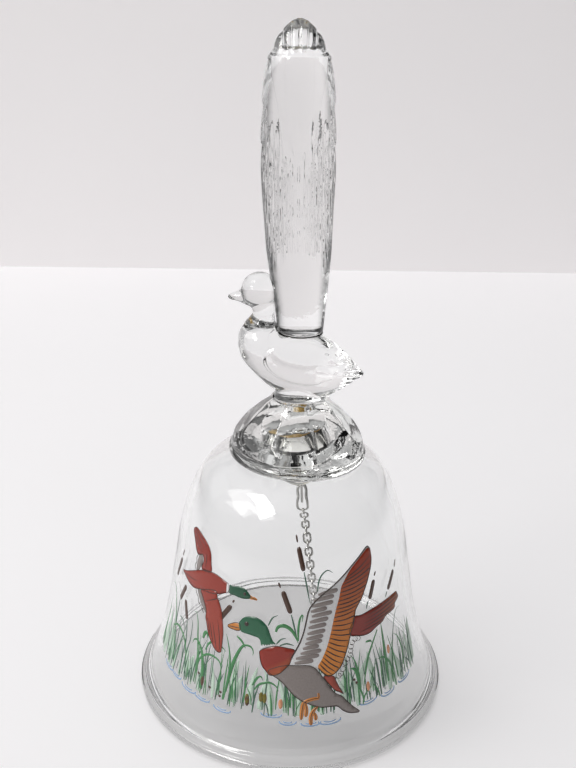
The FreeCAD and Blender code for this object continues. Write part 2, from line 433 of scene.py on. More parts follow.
def loft(name: str, loops: Sequence[Sequence[Sequence[float]]]) -> bpy.types.Object:
    """A closed skin over loops of equal length, with a middle point at both ends."""
    size = len(loops[0])
    vertices = [p for loop in loops for p in loop]
    faces = []
    for row in range(len(loops) - 1):
        for k in range(size):
            n = (k + 1) % size
            faces.append((row * size + k, row * size + n, (row + 1) * size + n, (row + 1) * size + k))
    for loop, base in ((loops[0], 0), (loops[-1], (len(loops) - 1) * size)):
        vertices.append([sum(p[axis] for p in loop) / size for axis in range(3)])
        faces += [(base + k, base + (k + 1) % size, len(vertices) - 1) for k in range(size)]
    return make_object(name, vertices, faces)


def hoop(name: str, path: Sequence[Vector], radius: float, sides: int = 12) -> bpy.types.Object:
    """A closed wire loop in one plane.

    Args:
        name: the object's name.
        path: the wire's centreline, a closed flat loop.
        radius: the wire's radius.
        sides: sides of its section.

    Returns:
        The object.
    """
    count = len(path)
    centre = sum(path, Vector()) / count
    normal = (path[0] - centre).cross(path[count // 4] - centre).normalized()
    vertices, faces = [], []
    for i in range(count):
        along = (path[(i + 1) % count] - path[i - 1]).normalized()
        side = along.cross(normal)
        for k in range(sides):
            a = 2 * math.pi * k / sides
            vertices.append(path[i] + (side * math.cos(a) + normal * math.sin(a)) * radius)
    for i in range(count):
        n = (i + 1) % count
        for k in range(sides):
            m = (k + 1) % sides
            faces.append((i * sides + k, i * sides + m, n * sides + m, n * sides + k))
    return make_object(name, vertices, faces)


def modify(piece: bpy.types.Object, kind: str, **settings: Any) -> None:
    """Adds a modifier with its settings and applies it to the mesh."""
    modifier = piece.modifiers.new(kind.lower(), kind)
    for key, value in settings.items():
        setattr(modifier, key, value)
    graph = bpy.context.evaluated_depsgraph_get()
    mesh = bpy.data.meshes.new_from_object(piece.evaluated_get(graph))
    piece.modifiers.clear()
    piece.data = mesh
    for face in mesh.polygons:
        face.use_smooth = True


def dress(piece: bpy.types.Object, finish: Any, body: str, *nodes: str) -> bpy.types.Object:
    """Gives a piece its finish, sets it on its body and lets it stand for CAD nodes.

    Args:
        piece: the object.
        finish: one of the finish classes' values.
        body: the CAD body it rides on.
        nodes: the CAD nodes it replaces.

    Returns:
        The piece.
    """
    piece.data.materials.clear()
    if finish.name not in MATERIALS:
        MATERIALS[finish.name] = finish.material()
    piece.data.materials.append(MATERIALS[finish.name])
    if isinstance(finish, Glass):
        piece.visible_shadow = finish.shades
    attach(piece, body)
    if nodes:
        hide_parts(*nodes)
    LOG.info("%s: %d faces, rides on %s", piece.name, len(piece.data.polygons), body)
    return piece


# --- The chain's line -----------------------------------------------------------------------


@dataclass(frozen=True)
class ChainLine:
    """The leaning line that the plug, the chain and the clapper share."""

    lean: float = 6.9
    plug_end: Point = (2.1, 55.2)
    eye_radius: float = 0.9
    eye_drop: float = 0.35

    def axes(self) -> tuple[Vector, Vector, Vector, Vector]:
        """The first pivot, then the line's sideways, depth and upward directions."""
        turn = math.radians(self.lean)
        up = Vector((-math.sin(turn), 0, math.cos(turn)))
        side = Vector((math.cos(turn), 0, math.sin(turn)))
        end = Vector((self.plug_end[0], 0, self.plug_end[1]))
        return end - up * (self.eye_drop + self.eye_radius), side, Vector((0, 1, 0)), up

    def point(self, radius: float, angle: float, height: float) -> Vector:
        """A point around the line, height millimetres above the first pivot."""
        pivot, side, depth, up = self.axes()
        return pivot + up * height + side * (radius * math.cos(angle)) + depth * (radius * math.sin(angle))

    def at_level(self, radius: float, angle: float, level: float) -> Vector:
        """A point on a cylinder round the line, at a level above the table."""
        start = self.point(radius, angle, 0.0)
        up = self.axes()[3]
        return start + up * ((level - start.z) / up.z)


LINE = ChainLine()


# --- The bell and its plug ------------------------------------------------------------------


@dataclass
class Bell:
    """The bell shell, turned from one outline of (radius, height)."""

    inside: list[Point] = field(default_factory=lambda: [
        (37.3, 0.0), (35.9, 4.0), (34.1, 8.0), (32.8, 12.0), (31.2, 18.0), (29.5, 26.0), (27.9, 36.0),
        (26.2, 46.0), (23.8, 54.0), (20.2, 60.0), (14.0, 63.2), (9.0, 64.0)])
    outside: list[Point] = field(default_factory=lambda: [
        (37.9, 3.9), (37.2, 5.0), (36.0, 8.0), (34.75, 12.0), (33.2, 18.0), (31.5, 26.0), (29.9, 36.0),
        (28.2, 46.0), (26.0, 54.0), (23.0, 60.0), (19.2, 64.0), (12.0, 66.35), (9.0, 66.7)])
    hole: float = 5.83
    crown: Point = (64.15, 66.85)
    around: int = 288

    def top_at(self, radius: float) -> float:
        """The height of the crown's outside at a radius."""
        return between([(r, z) for r, z in [*self.wall(), (self.hole, self.crown[1])]][::-1], radius)

    def wall(self) -> list[Point]:
        """The smooth outside line, from the rim up."""
        return spline(self.outside, 8)

    def build(self) -> None:
        """Makes and dresses the shell."""
        rim = [(38.9, 0.02)] + arc((38.82, 1.2), 1.165, -80, 80, 12) + arc((38.2, 3.1), 0.74, -48, 58, 8)
        hole = [(self.hole, self.crown[1]), (self.hole, self.crown[0])]
        outline = rim + self.wall() + hole + spline(self.inside, 8)[::-1] + [(37.5, 0.0), (38.6, 0.0)]

        def place(i: int, angle: float) -> Vector:
            """A point of the shell; the hole follows the plug's leaning line."""
            radius, height = outline[i]
            if radius == self.hole:
                return LINE.at_level(radius, angle, height)
            return Vector((radius * math.cos(angle), radius * math.sin(angle), height))

        shell = turned("bell_shell_glass", outline, place, self.around, True)
        dress(shell, BELL_GLASS, BELL, "bell_shell")


@dataclass
class Plug:
    """The clear plug through the crown, with the chain's eye in its round end."""

    radius: float = 5.8
    length: float = 14.9
    wire: float = 0.3
    edge: float = 0.35

    def build(self) -> None:
        """Makes the plug and the eye."""
        start = LINE.eye_drop + LINE.eye_radius
        middle = start + self.radius
        top = start + self.length
        outline = arc((0.0, middle), self.radius, -90, 0, 24)
        outline += [(self.radius, top - self.edge)] + arc((self.radius - self.edge, top - self.edge),
                                                          self.edge, 0, 90, 5)
        outline += [(self.radius * 0.5, top), (0.0, top)]
        plug = turned("clapper_plug_resin", outline, lambda i,
                      a: LINE.point(outline[i][0], a, outline[i][1]), 96, False)
        dress(plug, CLEAR_RESIN, BELL, "clapper_plug")
        turns = [2 * math.pi * k / 40 for k in range(40)]
        pivot, _, depth, up = LINE.axes()
        path = [pivot + up * (LINE.eye_radius * (1 + math.sin(a))) + depth
                * (LINE.eye_radius * math.cos(a)) for a in turns]
        dress(hoop("plug_wire_eye", path, self.wire), NICKEL_WIRE, BELL, "anchor_eye")


# --- The foot -------------------------------------------------------------------------------


@dataclass
class Foot:
    """The moulded foot: flange, dome with eight flats, socket for the plug, hole for the peg."""

    bell: Bell
    radius: float = 16.8
    bottom: float = 65.3
    thickness: float = 2.2
    top: float = 80.0
    lean: float = 2.2
    offset: float = 1.0
    lean_height: float = 67.0
    flats: int = 8
    first_ridge: int = 18
    flat_distance: float = 13.1
    flat_height: float = 72.6
    flat_slope: float = 43.0
    socket: float = 6.1
    socket_top: float = 17.55
    peg: Point = (2.8, 76.4)
    peg_x: float = 1.3
    seat_gap: float = 0.03
    around: int = 360
    dome: list[Point] = field(default_factory=lambda: [
        (16.2, 67.7), (15.6, 70.0), (14.0, 72.7), (11.3, 75.6), (8.2, 78.2), (6.9, 80.0)])

    def on_dome(self, radius: float, angle: float, height: float) -> Vector:
        """A point of the outside, cut back to the flats, leaning as the foot does."""
        limit = radius
        step = 360 / self.flats
        for index in range(self.flats):
            middle = math.radians(self.first_ridge + step * (index + 0.5) - 90)
            share = math.cos(angle - middle)
            if share > 0.3 and height > self.bottom + self.thickness:
                slope = math.tan(math.radians(self.flat_slope))
                reach = self.flat_distance - slope * (height - self.flat_height)
                limit = min(limit, reach / share)
        turn = math.radians(self.lean)
        x, rise = limit * math.cos(angle), height - self.lean_height
        return Vector((x * math.cos(turn) + rise * math.sin(turn) + self.offset, limit * math.sin(angle),
                       self.lean_height + rise * math.cos(turn) - x * math.sin(turn)))

    def build(self) -> None:
        """Makes and dresses the foot and the yellowed glue over the plug."""
        roll = self.thickness / 2
        shoulder = self.radius - roll
        flange = arc((shoulder, self.bottom + roll), roll, -88, 62, 14)
        side = spline(self.dome, 14)
        outline: list[tuple[str, float, float]] = [("plug", 0.0, self.socket_top),
                                                   ("plug", self.socket - 0.3, self.socket_top)]
        outline += [("plug", self.socket, self.socket_top - 0.3)]
        outline += [("socket", self.socket, self.bell.top_at(self.socket) + self.seat_gap)]
        outline += [("seat", r, self.bell.top_at(r) + self.seat_gap) for r in (8.0, 9.5, 11.0, 12.5, 13.6,
            14.6)]
        outline += [("dome", r, z) for r, z in flange + side]
        outline += [("level", 6.4, self.top), ("level", 4.5, self.top),
                    ("peg", self.peg[0] + 0.1, self.top)]
        outline += [("peg", self.peg[0], self.top - 0.1), ("peg", self.peg[0], self.peg[1]),
                    ("peg", 0.0, self.peg[1])]

        def place(i: int, angle: float) -> Vector:
            """A point of the foot, each part of the outline about its own axis."""
            zone, radius, height = outline[i]
            if zone == "plug":
                return LINE.point(radius, angle, height)
            if zone == "socket":
                return LINE.at_level(radius, angle, height)
            if zone == "dome":
                point = self.on_dome(radius, angle, height)
                point.z = min(point.z, self.top)
                away = math.hypot(point.x, point.y)
                if height < self.bottom + roll and away < 17.5:
                    point.z = max(point.z, self.bell.top_at(away) + self.seat_gap)
                return point
            middle = self.peg_x if zone in ("peg", "level") else 0.0
            return Vector((middle + radius * math.cos(angle), radius * math.sin(angle), height))

        dress(turned("pedestal_foot_glass", outline, place, self.around, False), FOOT_GLASS, BELL,
              "pedestal_foot")
        glue = [(0.0, 16.17), (3.0, 16.17), (4.6, 16.18), (4.93, 16.4), (4.95, 16.9), (4.8, 17.4),
                (4.3, 17.53), (2.5, 17.53), (0.0, 17.53)]

        def spread(i: int, angle: float) -> Vector:
            """A point of the glue, whose edge ran unevenly."""
            radius, height = glue[i]
            uneven = 1 - 0.05 * (1 + math.sin(3 * angle + 1.0)) * (0.5 + 0.5 * math.sin(7 * angle))
            return LINE.point(radius * uneven, angle, height)

        dress(turned("yellowed_foot_glue", glue, spread, 96, False), AGED_ADHESIVE, BELL, "foot_glue")


# --- The duck -------------------------------------------------------------------------------


@dataclass
class Duck:
    """The moulded glass duck, blended from its body, neck, head, beak, base and peg."""

    body: list[tuple[float, float, float, float]] = field(default_factory=lambda: [
        (-13.3, 92.4, 95.8, 1.6), (-12.2, 89.6, 97.8, 4.0), (-9.0, 85.9, 99.4, 5.9),
        (-5.0, 82.4, 98.8, 6.6),
        (0.0, 80.6, 97.3, 6.9), (5.0, 80.2, 96.0, 6.6), (9.0, 81.0, 93.9, 5.4), (12.5, 83.2, 90.7, 3.7),
        (15.2, 84.9, 87.8, 1.9), (16.6, 85.7, 86.4, 0.6)])
    neck: list[tuple[float, float, float, float]] = field(default_factory=lambda: [
        (95.0, -7.9, 5.2, 4.9), (98.5, -8.0, 3.9, 4.0), (101.2, -7.2, 2.7, 3.1), (104.0, -7.9, 3.3, 3.3)])
    beak: list[tuple[float, float, float, float]] = field(default_factory=lambda: [
        (-10.0, 105.2, 2.6, 2.5), (-11.4, 105.0, 2.0, 2.1), (-13.2, 105.1, 1.2, 1.75),
        (-14.8, 105.0, 0.75, 1.25),
        (-15.75, 104.95, 0.35, 0.6)])
    base: list[tuple[float, float, float, float]] = field(default_factory=lambda: [
        (80.02, 1.3, 6.4, 5.5), (81.6, 1.3, 5.9, 5.2), (84.0, 1.3, 6.6, 5.6)])
    head: tuple[float, float, float] = (-8.3, 106.6, 4.3)
    eye: tuple[float, float] = (-9.7, 107.7)
    seat: tuple[float, float, float] = (1.3, 6.33, 96.28)
    peg: tuple[float, float, float] = (1.3, 2.58, 76.82)
    wing: tuple[float, float, float, float, float] = (1.6, 90.6, 9.2, 5.0, 10.0)
    voxel: float = 0.24
    fineness: int = 56

    def ellipses(self, stations: Sequence[Sequence[float]], upright: bool) -> list[list[Vector]]:
        """Loops through (place, centre, first half size, half width) stations."""
        loops = []
        for at, middle, tall, wide in spline(stations, 6):
            turns = [2 * math.pi * k / self.fineness for k in range(self.fineness)]
            if upright:
                loops.append([Vector((at, wide * math.cos(a), middle + tall * math.sin(a))) for a in turns])
            else:
                loops.append([Vector((middle + tall * math.cos(a), wide * math.sin(a), at)) for a in turns])
        return loops

    def ball(self, name: str, centre: Vector, size: Vector) -> bpy.types.Object:
        """An egg shape for the union."""
        loops = []
        for k in range(1, 20):
            a = math.pi * k / 20
            loops.append([centre + Vector((size.x * math.sin(a) * math.cos(b),
                                           size.y * math.sin(a) * math.sin(b),
                                           -size.z * math.cos(a)))
                          for b in (2 * math.pi * j / 32 for j in range(32))])
        return loft(name, loops)

    def relief(self, point: Vector) -> float:
        """How far the moulded surface stands out at a point, in millimetres."""
        x, z, long, tall, tilt = self.wing
        turn = math.radians(tilt)
        u = ((point.x - x) * math.cos(turn) - (point.z - z) * math.sin(turn)) / long
        v = ((point.x - x) * math.sin(turn) + (point.z - z) * math.cos(turn)) / tall
        out = math.sqrt(u * u + v * v)
        side = smoothstep((abs(point.y) - 2.0) / 2.0)
        height = 0.42 * side * smoothstep((1.0 - out) / 0.14)
        if out < 1 and u > 0.25:
            height -= 0.16 * side * smoothstep((u - 0.25) / 0.3) * (0.5 + 0.5 * math.sin(v * 16)) ** 2
        tail = smoothstep((point.x - 9.5) / 2.5) * smoothstep((16.4 - point.x) / 1.5)
        fan = math.atan2(point.z - 88.5, point.x - 2.0)
        height -= 0.22 * tail * (0.5 + 0.5 * math.sin(fan * 55)) ** 2
        return height

    def build(self, plume: "Plume") -> None:
        """Makes and dresses the duck and the clear glue that holds its peg."""
        parts = [
            loft("duck", self.ellipses([(x, (a + b) / 2, (b - a) / 2, w) for x, a, b, w in self.body],
                                       True)),
            loft("neck", self.ellipses(self.neck, False)),
            loft("beak", self.ellipses(self.beak, True)),
            loft("base", self.ellipses(self.base, False)),
            self.ball("head", Vector((self.head[0], 0, self.head[1])), Vector((self.head[2],) * 3)),
        ]
        for side in (-1, 1):
            spot = Vector((self.eye[0], side * 3.75, self.eye[1]))
            parts.append(self.ball("eye", spot, Vector((0.62, 0.75, 0.62))))
            ring = [spot + Vector((1.05 * math.cos(a), 0.3 * side * -abs(math.cos(a)), 1.05 * math.sin(a)))
                    for a in (2 * math.pi * k / 32 for k in range(32))]
            parts.append(hoop("lid", ring, 0.28, 8))
        duck = parts[0]
        with bpy.context.temp_override(active_object=duck, selected_editable_objects=parts, object=duck):
            bpy.ops.object.join()
        modify(duck, "REMESH", mode="VOXEL", voxel_size=self.voxel * MM)
        modify(duck, "SMOOTH", factor=0.5, iterations=14)
        self.cut(duck, plume)
        modify(duck, "REMESH", mode="VOXEL", voxel_size=self.voxel * MM)
        modify(duck, "SMOOTH", factor=0.5, iterations=3)
        normals = [v.normal.copy() for v in duck.data.vertices]
        for vertex, normal in zip(duck.data.vertices, normals):
            vertex.co += normal * self.relief(vertex.co / MM) * MM
        modify(duck, "SMOOTH", factor=0.5, iterations=2)
        x, radius, bottom = self.peg
        stem = [(0.0, bottom), (radius - 0.2, bottom), (radius, bottom + 0.2), (radius, 81.0), (0.0, 81.0)]
        peg = turned("peg", stem, lambda i,
                     a: Vector((x + stem[i][0] * math.cos(a), stem[i][0] * math.sin(a), stem[i][1])), 64,
                     False)
        modify(duck, "BOOLEAN", operation="UNION", object=peg, solver="EXACT")
        bpy.data.objects.remove(peg)
        duck.name = "duck_figure_glass"
        dress(duck, MOULDED_GLASS, BELL, "duck_figure")
        cup = [(0.0, 76.43), (2.77, 76.43), (2.77, 79.95), (2.62, 79.95), (2.62, 76.78), (0.0, 76.78)]
        film = turned("peg_glue_film", cup, lambda i,
                      a: Vector((x + cup[i][0] * math.cos(a), cup[i][0] * math.sin(a), cup[i][1])), 64,
                      False)
        dress(film, CLEAR_ADHESIVE, BELL, "duck_glue")

    def cut(self, duck: bpy.types.Object, plume: "Plume") -> None:
        """Cuts the flat seat on the back and the room for the plume."""
        x, radius, level = self.seat
        tool = [(0.0, level), (radius, level), (radius, level + 30), (0.0, level + 30)]
        disc = turned("seat", tool, lambda i,
                      a: Vector((x + tool[i][0] * math.cos(a), tool[i][0] * math.sin(a), tool[i][1])), 96,
                      False)
        corners = [(x + a, b, level + c) for a in (0, 30) for b in (-20, 20) for c in (0, 30)]
        behind = make_object("behind", corners,
                             [(0, 1, 3, 2), (4, 6, 7, 5), (0, 4, 5, 1), (2, 3, 7, 6), (0, 2, 6, 4),
                              (1, 5, 7, 3)])
        room = loft("room", plume.loops(0.12, 60, 96))
        for cutter in (disc, behind, room):
            modify(duck, "BOOLEAN", operation="DIFFERENCE", object=cutter, solver="EXACT")
            bpy.data.objects.remove(cutter)


# --- The plume ------------------------------------------------------------------------------


@dataclass
class Plume:
    """The tall handle of overlapping leaves, fluted between a round cap and a smooth block."""

    stations: list[tuple[float, float, float, float]] = field(default_factory=lambda: [
        (96.6, 1.25, 5.35, 4.7), (101.5, 1.15, 5.8, 5.0), (107.7, 0.95, 6.55, 5.5), (116.5, 0.6, 7.45, 6.2),
        (127.5, 0.3, 8.15, 6.7), (135.3, 0.2, 8.5, 6.9), (143.0, 0.1, 8.3, 6.8), (149.5, 0.1, 8.0, 6.5),
        (155.0, 0.1, 7.4, 6.0), (159.0, 0.1, 6.3, 5.1), (162.5, 0.1, 4.4, 3.5), (164.8, 0.1, 2.1, 1.7),
        (165.6, 0.1, 0.5, 0.4)])
    petal_top: float = 158.6
    petal: list[Point] = field(default_factory=lambda: [
        (118.0, 1.6), (126.0, 2.7), (134.0, 3.1), (142.0, 3.6), (148.0, 4.4), (152.0, 5.3), (155.0, 5.9),
        (157.5, 5.9)])
    leaves: list[list[Point]] = field(default_factory=lambda: [
        [(122.0, 4.1), (128.0, 4.8), (133.0, 5.4), (138.0, 6.0), (143.0, 6.8), (148.0, 7.7), (150.0, 8.2)],
        [(114.0, 5.7), (122.0, 6.2), (128.0, 6.6), (134.0, 7.2), (139.0, 8.0), (142.0, 8.6)]])
    rib_pitch: float = 0.92
    rib_depth: float = 0.34
    rows: int = 250
    around: int = 352

    def section(self, height: float) -> tuple[float, float, float]:
        """The section's centre in x and its half width and half depth at a height."""
        return tuple(between([(s[0], s[k]) for s in self.smooth()], height) for k in (1, 2, 3))

    def smooth(self) -> list[tuple[float, ...]]:
        """The stations on a smooth line, worked out once."""
        if not hasattr(self, "_smooth"):
            self._smooth = spline(self.stations, 10)
        return self._smooth

    def loops(self, grow: float, rows: int, around: int) -> list[list[Vector]]:
        """Plain loops of the outside, larger all round by grow."""
        loops = []
        for k in range(rows + 1):
            z = self.stations[0][0] - grow + (self.stations[-1][0] - self.stations[0][0]) * k / rows
            x, wide, deep = self.section(z)
            loops.append([Vector((x + (wide + grow) * math.cos(a), (deep + grow) * math.sin(a), z))
                          for a in (2 * math.pi * j / around for j in range(around))])
        return loops

    def carving(self, across: float, arc_place: float, height: float, face: int) -> float:
        """How deep the mould cut at a place.

        Args:
            across: x from the plume's middle.
            arc_place: distance round the section from the middle of its face.
            height: z.
            face: 0 for the front, 1 for the back.

        Returns:
            The depth in millimetres.
        """
        depth = 0.0
        side = abs(across)
        for number, edge in enumerate([self.petal, *self.leaves]):
            low, high = edge[0][0], edge[-1][0]
            if low < height < high + 0.01:
                beyond = side - between(edge, height)
                fade = smoothstep((height - low) / 9.0)
                if beyond > 0:
                    depth += (0.62 if number == 0
                              else 0.5) * fade * math.exp(-beyond / 1.1) * smoothstep(beyond / 0.14)
        if height > self.petal_top:
            crest = self.petal_top - 0.9 * smoothstep((side - 3.5) / 3.0)
            over = height - crest
            if over > 0:
                rise = math.exp(-over / 2.2) * smoothstep(over / 0.16)
                depth += 0.5 * rise * smoothstep((7.5 - side) / 1.5)
        number = math.floor(arc_place / self.rib_pitch + 0.5)
        spread = random.Random(number * 7 + face * 101)
        start = 147 + spread.uniform(-9, 4) - 1.2 * (number % 3)
        stop = 113.5 + spread.uniform(-3.5, 4.0)
        inside = smoothstep((start - height) / 5.0) * smoothstep((height - stop) / 5.0)
        across_rib = abs(arc_place / self.rib_pitch
                         + 0.5 - math.floor(arc_place / self.rib_pitch + 0.5) - 0.5) * 2
        wander = 0.8 + 0.2 * math.sin(height * 0.9 + number * 2.1)
        depth += self.rib_depth * inside * wander * (1 - across_rib) ** 1.3
        cap = smoothstep((height - 158.9) / 0.8) * smoothstep((164.9 - height) / 1.5)
        depth += 0.3 * cap * (0.5 + 0.5 * math.cos(across * 2 * math.pi / 2.0)) ** 3
        return depth

    def build(self) -> None:
        """Makes and dresses the plume and the film of glue under it."""
        low, high = self.stations[0][0], self.stations[-1][0]
        loops = []
        for k in range(self.rows + 1):
            t = k / self.rows
            z = low + (high - low) * (t if t < 0.9 else 0.9 + 0.1 * math.sin((t - 0.9) * 5 * math.pi))
            x, wide, deep = self.section(z)
            rounding = 0.5 * (1 - math.sqrt(max(0.0, 1 - (1 - min(1.0, (z - low) / 0.9)) ** 2)))
            loop = []
            for j in range(self.around):
                a = 2 * math.pi * j / self.around
                arc_place = (math.atan2(math.cos(a), abs(math.sin(a)))) * (wide + deep) / 2
                inward = rounding + self.carving(wide * math.cos(a), arc_place, z,
                                                 0 if math.sin(a) < 0 else 1)
                inward = min(inward, 0.5 * deep)
                loop.append(Vector((x + (wide - inward) * math.cos(a), (deep - inward) * math.sin(a), z)))
            loops.append(loop)
        dress(loft("plume_handle_glass", loops), MOULDED_GLASS, BELL, "plume_handle")
        x, wide, deep = self.stations[0][1:]
        film = []
        for z, edge in ((96.31, 0.25), (96.36, 0.05), (96.46, 0.0), (96.55, 0.05), (96.58, 0.25)):
            film.append([Vector((x + (wide - edge) * math.cos(a), (deep - edge) * math.sin(a), z))
                         for a in (2 * math.pi * j / 96 for j in range(96))])
        dress(loft("plume_glue_film", film), CLEAR_ADHESIVE, BELL, "plume_glue")


# --- The chain and the clapper --------------------------------------------------------------


@dataclass
class Chain:
    """Two end rings and the links between them, then the clapper on its own eye."""

    links: int = 19
    wire: float = 0.275
    ring_wire: float = 0.3
    gap: float = 0.04
    pitch: float = 2.0
    link_width: float = 2.3
    ring_length: float = 4.0
    ring_width: float = 3.0
    ball: float = 4.4
    drop: float = 6.14
    collar: Point = (1.3, 0.9)

    def oval(self, name: str, top: float, wire: float, length: float, width: float,
             front: bool) -> bpy.types.Object:
        """One oval link hanging on the chain's line.

        Args:
            name: the object's name.
            top: the height of its upper bow's centreline above the first pivot.
            wire: the wire's radius.
            length: centreline length.
            width: centreline width.
            front: True if it lies across the front view.

        Returns:
            The object.
        """
        bow = width / 2
        flat = [(x, y + top - bow) for x, y in arc((0.0, 0.0), bow, 0, 180, 16)]
        flat += [(x, y + top - length + bow) for x, y in arc((0.0, 0.0), bow, 180, 360, 16)]
        pivot, side, depth, up = LINE.axes()
        across = side if front else depth
        return hoop(name, [pivot + across * x + up * y for x, y in flat], wire)

    def build(self) -> None:
        """Makes every link on its own body, and the clapper."""
        link_length = self.pitch + 2 * self.wire + self.gap
        ring = (self.ring_wire, self.ring_length - 2 * self.ring_wire, self.ring_width - 2 * self.ring_wire)
        plan = [("top_ring", *ring)]
        plan += [(f"chain_link_{n:02d}", self.wire, link_length, self.link_width - 2 * self.wire)
                 for n in range(1, self.links + 1)]
        plan += [("bottom_ring", *ring)]
        pivot, held_by, front = 0.0, self.ring_wire, True
        for node, wire, length, width in plan:
            top = pivot + held_by + wire + self.gap
            piece = self.oval(f"{node}_wire", top, wire, length, width, front)
            dress(piece, NICKEL_WIRE, f"{node}_body", node)
            pivot, held_by, front = top - length, wire, not front
        self.clapper(pivot, pivot + held_by + self.ring_wire + self.gap, front)

    def clapper(self, pivot: float, top: float, front: bool) -> None:
        """Makes the ball with its collar, and the eye on it."""
        centre = pivot - self.drop
        root = math.degrees(math.asin(self.collar[0] / self.ball))
        outline = arc((0.0, centre), self.ball, -90, 90 - root - 2, 40)
        shoulder = centre + self.ball
        outline += [(self.collar[0], shoulder + 0.02), (self.collar[0], shoulder + self.collar[1] - 0.15)]
        outline += [(self.collar[0] - 0.15, shoulder + self.collar[1]), (0.0, shoulder + self.collar[1])]
        ball = turned("clapper_ball", outline, lambda i, a: LINE.point(outline[i][0], a, outline[i][1]),
                      72, False)
        dress(ball, NICKEL_BALL, "clapper_body", "clapper")
        origin, side, depth, up = LINE.axes()
        across = side if front else depth
        path = [origin + across * x + up * y for x,
                y in arc((0.0, top - LINE.eye_radius), LINE.eye_radius, 0, 351, 39)]
        dress(hoop("clapper_wire_eye", path, self.ring_wire), NICKEL_WIRE, "clapper_body", "clapper_eye")


# --- The fired picture ----------------------------------------------------------------------
# Places in the drawings are (degrees round the bell from the front towards +X, height in mm).

ARC = 0.5585  # millimetres of wall in a degree, at the middle of the drawings
Places = list[Point]


def ink_colour(red: int, green: int, blue: int) -> Colour:
    """A shader colour, lightened a little, from red, green and blue of 0 to 255."""
    return tuple(min(0.9, 1.2 * (c / 12.92 if c <= 0.04045 else ((c + 0.055) / 1.055) ** 2.4))
                 for c in (red / 255, green / 255, blue / 255))


def ellipse(centre: Point, wide: float, high: float, start: float = 0.0, end: float = 360.0,
            steps: int = 12) -> Places:
    """Points on part of an ellipse; a full one doesn't repeat its first point."""
    turns = [math.radians(start + (end - start) * k / steps)
             for k in range(steps if end - start >= 360 else steps + 1)]
    return [(centre[0] + wide * math.cos(a), centre[1] + high * math.sin(a)) for a in turns]


def evenly(path: Sequence[Point], spacing: float) -> Places:
    """The path's points moved to equal distances along it."""
    lengths = [0.0]
    for a, b in zip(path, path[1:]):
        lengths.append(lengths[-1] + math.dist(a, b))
    count = max(4, round(lengths[-1] / spacing))
    places = [lengths[-1] * k / count for k in range(count + 1)]
    return [tuple(between(list(zip(lengths, axis)), place) for axis in zip(*path)) for place in places]


def part_way(path: Places, share: float) -> Point:
    """The point a share of the way along a path."""
    fine = evenly(path, 0.1)
    return fine[round(share * (len(fine) - 1))]


def inside(point: Point, outline: Places, margin: float) -> bool:
    """True if a point is inside an outline and at least a margin away from its corners."""
    if min(math.dist(point, corner) for corner in outline) < margin:
        return False
    crossings = 0
    for (x0, y0), (x1, y1) in zip(outline, outline[1:] + outline[:1]):
        if (y0 > point[1]) != (y1 > point[1]) and point[0] < x0 + (x1 - x0) * (point[1] - y0) / (y1 - y0):
            crossings += 1
    return crossings % 2 == 1


class Tip(Enum):
    """How a painted stroke swells and ends: its width shares at places from its root to its tip."""

    LINE = ((0.0, 0.6), (0.06, 1.0), (0.94, 1.0), (1.0, 0.5))
    BLADE = ((0.0, 0.55), (0.3, 1.0), (0.6, 0.85), (0.85, 0.5), (1.0, 0.1))
    FEATHER = ((0.0, 0.45), (0.25, 0.85), (0.7, 1.0), (0.93, 0.9), (1.0, 0.45))
    ROD = ((0.0, 0.45), (0.05, 0.8), (0.12, 1.0), (0.88, 1.0), (0.95, 0.8), (1.0, 0.45))


